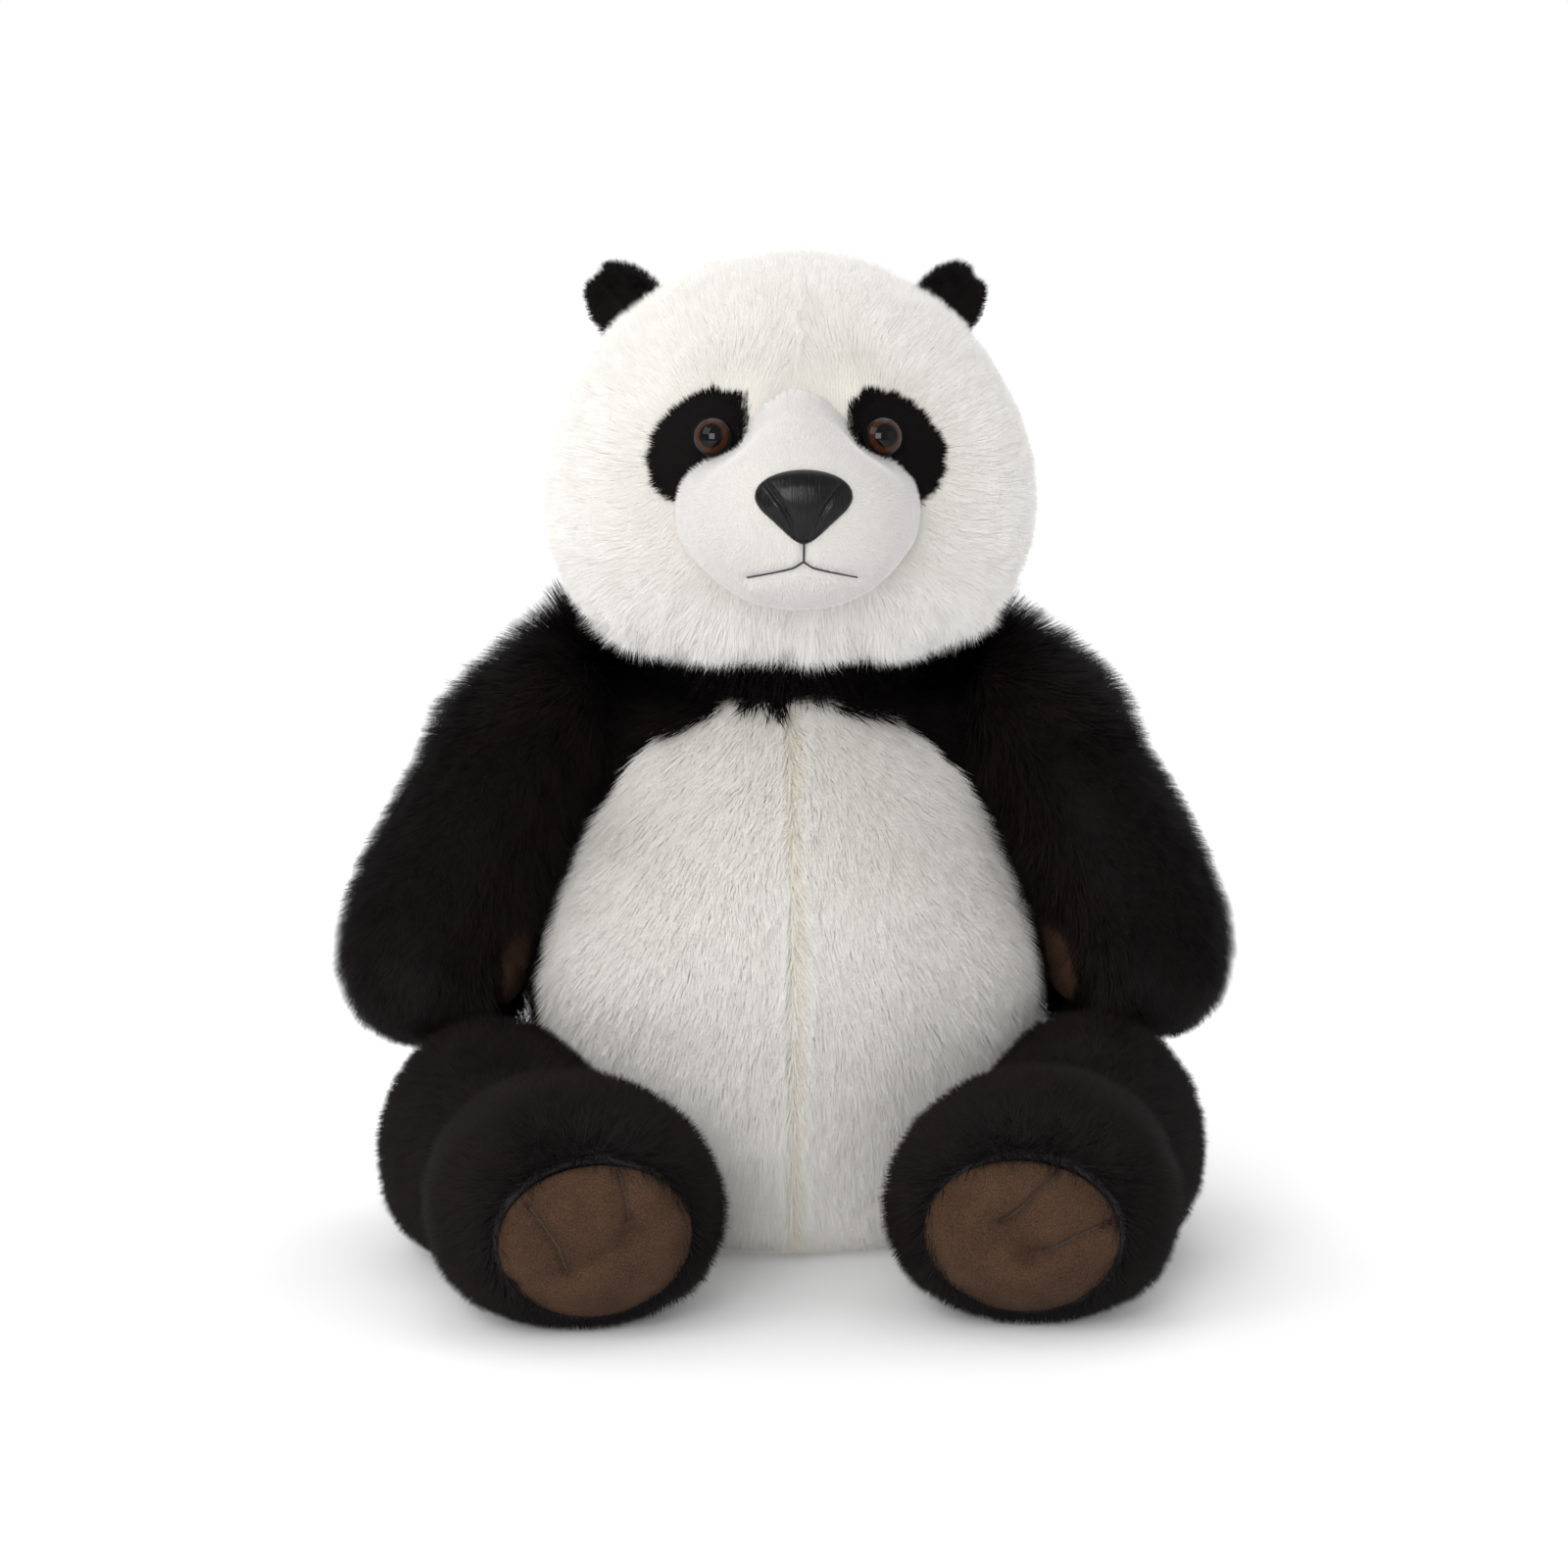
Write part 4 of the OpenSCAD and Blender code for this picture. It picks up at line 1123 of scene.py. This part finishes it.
for hand, side in HANDS.items():
    arm, leg = skins[f"arm_{hand}"], skins[f"leg_{hand}"]
    points = places(leg.data).copy()
    ahead = soft_step(-off_sole(points / mm, side), 2.0, 4.0)[:, None]
    points -= ahead * behind_sole * mm * sole_out * np.array([side, 1, 1])
    leg.data.vertices.foreach_set("co", points.astype(np.float32).ravel())
    for skin, limb in ((arm, "arm"), (leg, "leg")):
        nodes = [f"{limb}_{part}_{hand}" for part in ("outer", "inner", "filling")]
        finish_skin(skin, f"{limb}_{hand}", "black_pile", 0.0, *nodes)
    add_pile(f"arm_fur_{hand}", f"arm_{hand}", "black_pile", arm,
             lambda p: soft_step(off_pad(p, side), 0.95, 0.1),
             along_spine(arm_spine, side), black_pile, 120000, 12, 0.42, lean=54, tousle=1.3, clump=40,
             seed=31, soft=0.45, long=lambda p: arm_length(p, side))
    add_pile(f"leg_fur_{hand}", f"leg_{hand}", "black_pile", leg,
             lambda p: soft_step(off_sole(p, side), 0.5, 1.0) * (p[:, 2] > 2),
             leg_comb(side), black_pile, 145000, 10.5, 0.42, lean=50, tousle=1.4, clump=40, seed=33,
             soft=0.38, long=low_hem)
finish_skin(tail, "tail", "white_pile", 1.0, "tail_cover", "tail_filling")
add_pile("tail_fur", "tail", "white_pile", tail, lambda p: p[:, 2] > 3, lambda p: (0, -0.5, -1.0),
         white_pile, 24000, 11, 0.42, lean=52, tousle=1.2, clump=50, seed=41, soft=0.8, long=low_hem)
print("limbs and tail covered")

# %% [markdown]
# ## Neck
# A short padded ring joins the head to the body. Its black pile fills the gap
# between them, so that no light shows through when the head turns or nods.

# %% Neck
neck_low, neck_high = (Vector(v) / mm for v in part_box("neck_cushion"))
neck_radius = (neck_high.x - neck_low.x) / 2


def neck_form(angle, share):
    a = math.radians(angle)
    bulge = math.sqrt(max(1 - (2 * share - 1) ** 4, 0.0)) if 0 < share < 1 else 0.0
    r = neck_radius * (0.25 + 0.75 * bulge)
    middle = (neck_low + neck_high) / 2
    high = blend(neck_low.z, neck_high.z, share)
    return Vector((middle.x + r * math.cos(a), middle.y + r * math.sin(a), high))


neck_ring = new_piece("neck_skin", skin_mesh("neck_skin", neck_form, 64, 16))
finish_skin(neck_ring, "neck", "black_pile", 0.0, "neck_cushion", fill=0.9)


def outwards(p):
    """Away from the middle of the neck and down."""
    out = np.stack([p[:, 0], p[:, 1], 0 * p[:, 0]], 1)
    return out / np.maximum(np.linalg.norm(out, axis=1, keepdims=True), 1) + np.array([0, 0, -0.7])


add_pile("neck_fur", "neck", "black_pile", neck_ring,
         lambda p: np.hypot(p[:, 0], p[:, 1]) > neck_radius * 0.6, outwards, black_pile, 30000, 26, 0.6,
         lean=66, tousle=1.2, clump=45, seed=51, soft=0.45)

# %% [markdown]
# ## Eyes
# A safety eye is a moulded dome with the pupil and a brown ring painted behind
# clear plastic. One turned profile makes the dome, and the distance from its
# axis, stored on the mesh, tells the paint where the pupil ends.

# %% Eyes
eye_radius, eye_dome_high, eye_foot = 8.0, 4.5, 3.6


def eye_paint():
    paint = Paint("eye_dome")
    ring = paint.node("ShaderNodeAttribute", {"attribute_name": "ring"}, out=2)
    streaks = paint.noise(900, 2)
    brown = paint.mix(streaks, (0.022, 0.006, 0.002), (0.058, 0.016, 0.004))
    iris = paint.mix(ring.above(0.57, 0.06), (0.0012, 0.0012, 0.0014), brown)
    rim = paint.mix(ring.above(0.80, 0.08), iris, (0.002, 0.0015, 0.0015))
    return paint.finish(Base_Color=rim, Roughness=0.03, Specular_IOR_Level=0.22)


def lathe(name, profile, origin, axis, around=48, mirror=1):
    """A closed shape turned from (radius, height) points that start and end on the axis."""
    turn = axis.to_track_quat("Z", "Y").to_matrix()
    points = [origin + turn @ Vector((0, 0, profile[0][1]))]
    for r, h in profile[1:-1]:
        ways = [math.tau * j / around for j in range(around)]
        points += [origin + turn @ Vector((r * math.cos(way), r * math.sin(way), h)) for way in ways]
    points.append(origin + turn @ Vector((0, 0, profile[-1][1])))
    rows, last = len(profile) - 2, len(points) - 1
    faces = [(0, 1 + j, 1 + (j + 1) % around) for j in range(around)]
    for i in range(rows - 1):
        a, b = 1 + i * around, 1 + (i + 1) * around
        faces += [(a + j, b + j, b + (j + 1) % around, a + (j + 1) % around) for j in range(around)]
    a = 1 + (rows - 1) * around
    faces += [(a + (j + 1) % around, a + j, last) for j in range(around)]
    mesh = bpy.data.meshes.new(name)
    mesh.from_pydata([(mirror * p.x * mm, p.y * mm, p.z * mm) for p in points], [], faces)
    mesh = tidy_normals(mesh)
    return new_piece(name, mesh)


eye_gloss = eye_paint()
face_normal = (on_face(eye_p + 1, eye_q) - on_face(eye_p - 1, eye_q)).cross(
    on_face(eye_p, eye_q + 1) - on_face(eye_p, eye_q - 1)).normalized()
if face_normal.y > 0:
    face_normal = -face_normal
eye_axis = (face_normal + Vector((0, -0.6, 0))).normalized()
ball = (eye_radius**2 + eye_dome_high**2) / (2 * eye_dome_high)
for hand, side in HANDS.items():
    steps = [eye_radius * i / 14 for i in range(15)]
    centre = eye_foot + eye_dome_high - ball
    cap = [(r, centre + math.sqrt(ball**2 - r**2)) for r in steps]
    foot = [(eye_radius, eye_foot - 0.4), (eye_radius - 0.6, eye_foot - 1.0), (0, eye_foot - 1.0)]
    eye = lathe(f"eye_{hand}", [*cap, *foot], on_face(eye_p, eye_q), eye_axis, mirror=side)
    away = places(eye.data) / mm - np.array(tuple(on_face(eye_p, eye_q))) * np.array([side, 1, 1])
    axis = np.array(tuple(eye_axis)) * np.array([side, 1, 1])
    flat = away - (away @ axis)[:, None] * axis
    write_attribute(eye.data, "ring", "FLOAT", np.linalg.norm(flat, axis=1) / eye_radius)
    eye.data.materials.append(eye_gloss)
    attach(eye, "head")
    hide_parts(f"eye_dome_{hand}")
print("eyes at", [round(v) for v in on_face(eye_p, eye_q)])

# %% [markdown]
# Behind the face, each eye has a shank and a washer that locks it. They are
# turned parts of the frame and keep their shape; they get moulded plastic.

# %% Shanks and washers
def moulded(name, dark, light, roughness):
    paint = Paint(name)
    flow = paint.noise(160, 4)
    colour = paint.mix(flow, dark, light)
    relief = paint.bump(flow, 0.15, 0.0002)
    return paint.finish(Base_Color=colour, Roughness=roughness + 0.1 * flow, Normal=relief)


def dress(node, material):
    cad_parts[node].data.materials.clear()
    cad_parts[node].data.materials.append(material)


black_plastic = moulded("black_plastic", (0.008, 0.008, 0.009), (0.02, 0.02, 0.022), 0.35)
natural_plastic = moulded("natural_plastic", (0.62, 0.60, 0.54), (0.72, 0.70, 0.64), 0.45)
for hand in both:
    dress(f"eye_shank_{hand}", black_plastic)
    dress(f"eye_washer_{hand}", natural_plastic)

# %% [markdown]
# ## Nose
# The nose is black satin stretched over a small cushion. Two darts, one on each
# side, run from its lower tip up to the wings and pull it in, which draws the
# nostrils. The satin's threads run up and down, so its highlights are streaks.

# %% Nose
def satin_paint():
    paint = Paint("nose_satin")
    threads = paint.noise(420, 3, paint.stretched(3.0, 1.0, 0.35))
    folds = paint.noise(70, 2)
    # The colour is lighter along the threads: painted sheen. The roughness and bump along them give the
    # real streak highlights.
    colour = paint.mix(threads, (0.0015, 0.0015, 0.0017), (0.009, 0.009, 0.010))
    return paint.finish(
        Base_Color=colour,
        Roughness=0.15 + 0.18 * threads,
        Specular_IOR_Level=0.2,
        Normal=paint.bump(threads + 0.4 * folds, 0.35, 0.0005),
    )


def near_curve(x, y, path):
    """Distance from a point to a chain of points."""
    best = 1e9
    for (x0, y0), (x1, y1) in zip(path, path[1:]):
        dx, dy = x1 - x0, y1 - y0
        t = max(0.0, min(1.0, ((x - x0) * dx + (y - y0) * dy) / (dx * dx + dy * dy)))
        best = min(best, math.hypot(x - x0 - t * dx, y - y0 - t * dy))
    return best


def nose_mesh(around=96, rings=26):
    middle = (0.001, nose_q - 0.03)
    points = []
    tips = [nose_outline(math.tau * j / around) for j in range(around)]
    dart = [(0.06, -0.40), (0.17, -0.10), (0.30, 0.14), (0.36, 0.22)]
    for i in range(1, rings + 1):
        k = i / rings
        for p1, q1 in tips:
            p, q = blend(middle[0], p1, k), blend(middle[1], q1, k)
            high = 0.4 + 4.8 * max(1 - k**2.6, 0) ** 0.5
            high -= 1.5 * bump_at(near_curve(abs(p), q - nose_q, dart), 0, 0.018) * (1 - k**6)
            high -= 1.3 * bump_at(abs(p), 0.31, 0.07) * bump_at(q, nose_q, 0.10) * (1 - k**4)
            at = muzzle_tip(p, q)
            n = (muzzle_tip(p + 0.01, q) - muzzle_tip(p - 0.01, q)).cross(
                muzzle_tip(p, q + 0.01) - muzzle_tip(p, q - 0.01)).normalized()
            points.append(at + n * (high if n.y < 0 else -high))
    centre = sum(points[:around], Vector()) / around
    faces = [(len(points), (j + 1) % around, j) for j in range(around)]
    for i in range(rings - 1):
        a, b = i * around, (i + 1) * around
        faces += [(a + j, a + (j + 1) % around, b + (j + 1) % around, b + j) for j in range(around)]
    points.append(centre)
    rim = (rings - 1) * around
    back = len(points)
    points.append(sum(points[rim:rim + around], Vector()) / around + Vector((0, 3, 0)))
    faces += [(rim + j, rim + (j + 1) % around, back) for j in range(around)]
    mesh = bpy.data.meshes.new("nose")
    mesh.from_pydata([(p.x * mm, p.y * mm, p.z * mm) for p in points], [], faces)
    return tidy_normals(mesh)


nose = new_piece("nose_cushion", nose_mesh(), satin_paint())
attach(nose, "head")
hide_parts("nose")
print("nose", [round(x, 1) for x in (places(nose.data).max(0) - places(nose.data).min(0)) / mm], "mm")

# %% [markdown]
# ## Thread
# The mouth and the toes are drawn with thread. A second small tree follows a
# path of points: it spaces them evenly and lays one small slanted bead on each,
# so that a close look shows a row of stitches like a twisted thread.

# %% The tree that twists thread
def thread_tree():
    tree = bpy.data.node_groups.new("thread", "GeometryNodeTree")
    spin = Maker(tree)
    kinds = {"Path": "Geometry", "Radius": "Float", "Step": "Float", "Material": "Material"}
    for label, kind in kinds.items():
        tree.interface.new_socket(label, in_out="INPUT", socket_type=f"NodeSocket{kind}")
    tree.interface.new_socket("Thread", in_out="OUTPUT", socket_type="NodeSocketGeometry")
    entry = spin.node("NodeGroupInput").socket.node
    given = {label: Value(spin, entry.outputs[label]) for label in kinds}
    curve = spin.node("GeometryNodeMeshToCurve", {}, {0: given["Path"]})
    spaced = {"Curve": curve, "Length": given["Step"]}
    even = spin.node("GeometryNodeResampleCurve", {"mode": "LENGTH"}, spaced)
    stitch = spin.node("GeometryNodeMeshUVSphere", {}, {"Segments": 6, "Rings": 4, "Radius": 1.0})
    sides = {0: given["Radius"], 1: given["Radius"] * 0.8, 2: given["Step"] * 0.95}
    grown = spin.node("ShaderNodeCombineXYZ", {}, sides)
    tangent = spin.node("GeometryNodeInputTangent")
    along = spin.node("FunctionNodeAlignRotationToVector", {"axis": "Z"}, {"Vector": tangent})
    twist = {0: along, 1: (0.0, 0.45, 0.0)}
    tilt = spin.node("FunctionNodeRotateRotation", {"rotation_space": "LOCAL"}, twist)
    row = {"Points": even, "Instance": stitch, "Rotation": tilt, "Scale": grown}
    placed = spin.node("GeometryNodeInstanceOnPoints", {}, row)
    real = spin.node("GeometryNodeRealizeInstances", {}, {"Geometry": placed})
    done = spin.node("GeometryNodeSetMaterial", {}, {"Geometry": real, "Material": given["Material"]})
    spin.node("NodeGroupOutput", {}, {"Thread": done})
    return tree


THREAD = thread_tree()


def sew(name, paths, radius, step, material, body, slot, *nodes):
    """Lays thread along paths of points in mm."""
    points, edges = [], []
    for path in paths:
        edges += [(len(points) + i, len(points) + i + 1) for i in range(len(path) - 1)]
        points += [tuple(p * mm for p in point) for point in path]
    mesh = bpy.data.meshes.new(name)
    mesh.from_pydata(points, edges, [])
    seam = new_piece(name, mesh)
    modifier = seam.modifiers.new("thread", "NODES")
    modifier.node_group = THREAD
    settings = {"Radius": radius * mm, "Step": step * mm, "Material": material}
    for item in THREAD.interface.items_tree:
        if item.in_out == "INPUT" and item.name in settings:
            modifier[item.identifier] = settings[item.name]
    made = settled(seam)
    for face in made.polygons:
        face.use_smooth = True
    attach(seam, body)
    if nodes:
        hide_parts(*nodes)
    print(f"{name}: {len(made.polygons)} faces")
    return seam


def thread_paint(name, dark, light):
    paint = Paint(name)
    fibre = paint.noise(2600, 2)
    return paint.finish(Base_Color=paint.mix(fibre, dark, light), Roughness=0.6, Sheen_Weight=0.2)


black_thread = thread_paint("thread_black", (0.004, 0.004, 0.004), (0.02, 0.018, 0.018))
brown_thread = thread_paint("thread_brown", (0.012, 0.007, 0.005), (0.035, 0.02, 0.013))


upright = np.linspace(-0.24, mouth_high + 0.04, 12)
mouth_paths = [[muzzle_tip(0.001, q) + Vector((0, -0.2, 0)) for q in upright]]
mouth_paths.append([mouth_point(p) + Vector((0, -0.1, 0)) for p in mouth_shares])
sew("mouth_stitches", mouth_paths, 0.4, 0.7, black_thread, "head", "thread_black", "mouth_thread")

# %% [markdown]
# ## Ears
# An ear is two layers of short black pile sewn into a cup, with a pleat in its
# middle that makes two lobes. It stands across the crown seam, facing forwards,
# and its lower side is drawn in, where the fur of the cheek covers it.

# %% Ears
ear_radius, ear_cup, ear_lift, ear_turn = 25, 42, 3, math.radians(24)
ear_at, ear_up = head_form(50, 0.40), form_normal(head_form, 50, 0.40)
if ear_up.z < 0:
    ear_up = -ear_up
ear_at = ear_at + ear_up * ear_lift
ear_flat = Vector((0, 1, 0)).cross(ear_up).normalized()
ear_out = math.cos(ear_turn) * ear_flat.cross(ear_up) + math.sin(ear_turn) * ear_flat
ear_across = ear_up.cross(ear_out)
ear_low = -1 if ear_across.z > 0 else 1  # the side of the ear that is nearer the cheek


def ear_form(angle, share):
    a, ring = math.radians(angle), math.sin(math.pi * share) ** 0.55
    x = ear_radius * ring * math.cos(a)
    y = (ear_radius + 1) * ring * math.sin(a)
    y = y * 0.22 if y < 0 else y
    x *= 0.50 if x * ear_low > 0 else 0.84
    pleat = math.exp(-(((x + 2) / 5.0) ** 2)) * min(max(y, 0) / ear_radius, 1)
    cup = ear_cup - math.sqrt(ear_cup**2 - min(x * x + y * y, 700)) + 0.016 * x * x - 4.5 * pleat
    y *= 1 - 0.08 * pleat
    return ear_at + ear_across * x + ear_up * y + ear_out * (cup + 3 - 4.2 * math.cos(math.pi * share))


def ear_comb(side):
    up, across = np.array(tuple(ear_up)) * [side, 1, 1], np.array(tuple(ear_across)) * [side, 1, 1]
    middle = np.array(tuple(ear_at)) * [side, 1, 1]

    def comb(p):
        return up + across * np.clip((p - middle) @ across / ear_radius, -1, 1)[:, None] * 0.8

    return comb


for hand, side in HANDS.items():
    ear = new_piece(f"ear_skin_{hand}", skin_mesh(f"ear_skin_{hand}", ear_form, 72, 36, mirror=side))
    finish_skin(ear, f"ear_{hand}", "black_pile", 0.0, f"ear_front_{hand}", f"ear_back_{hand}", fill=0.4)
    add_pile(f"ear_fur_{hand}", f"ear_{hand}", "black_pile", ear, lambda p: 1.0, ear_comb(side),
             black_pile, 24000, 4.6, 0.32, lean=42, tousle=1.3, clump=70, seed=61, soft=0.6)

# %% [markdown]
# ## Soles and hand pads
# The soles are brown suede. Two toe stitches and a few soft pulls gather each
# one towards a dimple, so the surface itself is pressed in along those lines;
# the nap of the suede is colour and fine bump.

# %% Suede
def suede_paint():
    paint = Paint("brown_suede")
    nap, cloud = paint.noise(1500, 4, roughness=0.7), paint.noise(60, 3)
    colour = paint.mix(nap.above(0.36, 0.3), (0.019, 0.0095, 0.0052), (0.098, 0.053, 0.031))
    worn = paint.mix(cloud.above(0.35, 0.4), (0.030, 0.0155, 0.0088), (0.078, 0.042, 0.025))
    return paint.finish(
        Base_Color=paint.mix(0.45, colour, worn),
        Roughness=0.92,
        Specular_IOR_Level=0.15,
        Normal=paint.bump(nap + 0.5 * cloud, 0.6, 0.0006),
    )


suede = suede_paint()


def disc_mesh(name, at, outline_count=120, rings=36, mirror=1, back=3.0):
    """A closed disc from at(angle, share of the radius, height): its face, its rim and its back."""
    points, faces = [], []
    shares = [1 - (i / rings) ** 1.0 for i in range(rings)]
    for k in shares:
        points += [at(math.tau * j / outline_count, k, None) for j in range(outline_count)]
    n = outline_count
    faces += [(i * n + j, i * n + (j + 1) % n, (i + 1) * n + (j + 1) % n, (i + 1) * n + j)
              for i in range(rings - 1) for j in range(n)]
    points.append(at(0.0, 0.0, None))
    faces += [((rings - 1) * n + j, (rings - 1) * n + (j + 1) % n, len(points) - 1) for j in range(n)]
    behind = len(points)
    points += [at(math.tau * j / n, 0.99, -back) for j in range(n)]
    faces += [(behind + j, behind + (j + 1) % n, (j + 1) % n, j) for j in range(n)]
    points.append(at(0.0, 0.0, -back))
    faces += [(behind + (j + 1) % n, behind + j, len(points) - 1) for j in range(n)]
    mesh = bpy.data.meshes.new(name)
    mesh.from_pydata([(mirror * p.x * mm, p.y * mm, p.z * mm) for p in points], [], faces)
    return tidy_normals(mesh)


def on_sole(x, y):
    """Angle and share of the leg's length at x outwards and y upwards, 1 at the sole's edge."""
    angle, ring = math.degrees(math.atan2(y, x)), min(math.hypot(x, y), 1.0)
    edge = (1 - (1 - (1 - sole_line(angle)) / sole_reach) ** sole_power) ** (1 / sole_power)
    return angle, 1 - sole_reach * (1 - (1 - (ring * edge) ** sole_power) ** (1 / sole_power))


toe_lines = {
    "left": [[(0.42, 0.86), (0.10, 0.45), (-0.20, 0.14)], [(0.95, 0.12), (0.55, -0.05), (0.24, -0.22)]],
    "right": [[(-0.26, 0.90), (-0.30, 0.55), (-0.33, 0.22)], [(0.76, 0.42), (0.40, -0.12), (0.30, -0.40)]],
}
soft_pulls = {
    "left": [[(-0.20, 0.14), (-0.14, -0.08), (0.09, -0.27)], [(0.24, -0.22), (0.09, -0.27)]],
    "right": [[(-0.33, 0.22), (-0.33, 0.0), (0.0, -0.24), (0.30, -0.40)], [(0.30, -0.40), (0.90, -0.60)]],
}
dimples = {"left": (0.09, -0.27), "right": (-0.33, 0.0)}


def sole_height(x, y, hand):
    ring = math.hypot(x, y)
    high = 2.6 * max(1 - ring**5, 0) ** 0.5 - 0.8
    for path in toe_lines[hand]:
        away = near_curve(x, y, path)
        high -= 2.0 * bump_at(away, 0, 0.035) + 1.2 * bump_at(away, 0, 0.13)
    for path in soft_pulls[hand]:
        high -= 1.5 * bump_at(near_curve(x, y, path), 0, 0.10)
    dx, dy = x - dimples[hand][0], y - dimples[hand][1]
    high -= 3.2 * bump_at(math.hypot(dx, dy), 0, 0.16)
    high += 0.35 * math.sin(5 * x + 3 * y) * (1 - ring**2)
    return high


for hand, side in HANDS.items():
    def sole_point(a, k, high):
        x, y = k * math.cos(a), k * math.sin(a)
        angle, share = on_sole(x, y)
        rise = sole_height(x, y, hand) if high is None else high
        out = form_normal(leg_form, angle, share, 1.0, 0.001)
        axis = spine_slope(leg_spine, 1.0)
        out = (out if out.dot(axis) > 0 else -out).lerp(axis, 0.35).normalized()
        return leg_form(angle, share) + out * rise

    sole = new_piece(f"sole_suede_{hand}", disc_mesh(f"sole_suede_{hand}", sole_point, mirror=side), suede)
    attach(sole, f"leg_{hand}")
    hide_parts(f"sole_{hand}")
    paths = []
    for path in toe_lines[hand]:
        line = []
        for (x0, y0), (x1, y1) in zip(path, path[1:]):
            for t in np.linspace(0, 1, 8):
                x, y = blend(x0, x1, t), blend(y0, y1, t)
                p = sole_point(math.atan2(y, x), math.hypot(x, y), sole_height(x, y, hand) + 0.35)
                line.append(Vector((p.x * side, p.y, p.z)))
        paths.append(line)
    sew(f"toe_stitches_{hand}", paths, 0.4, 0.8, brown_thread, f"leg_{hand}", "thread_brown",
        f"toe_threads_{hand}")

# %% [markdown]
# A hand pad is an oval of the same suede on the inner side of the paw, sewn with
# one soft fold across it.

# %% Hand pads
pad_fold = [(-0.5, 0.1), (0.1, 0.3), (0.6, 0.1)]
for hand, side in HANDS.items():
    def pad_point(a, k, high):
        x, y = k * math.cos(a), k * math.sin(a)
        angle, share = pad_u + pad_ru * x, pad_v + pad_rv * y
        crease = bump_at(near_curve(x, y, pad_fold), 0, 0.12)
        rise = 0.3 + 2.4 * max(1 - k**4, 0) ** 0.5 - 1.3 * crease if high is None else 0.2
        out = form_normal(arm_form, angle, share, 1.0, 0.01)
        outward = arm_form(angle, share) - spine_at(arm_spine, share)
        return arm_form(angle, share) + (out if out.dot(outward) > 0 else -out) * rise

    pad_mesh = disc_mesh(f"hand_pad_{hand}", pad_point, 72, 16, mirror=side)
    pad = new_piece(f"hand_pad_{hand}", pad_mesh, suede)
    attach(pad, f"arm_{hand}")
    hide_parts(f"paw_pad_{hand}")
print("soles and pads sewn")
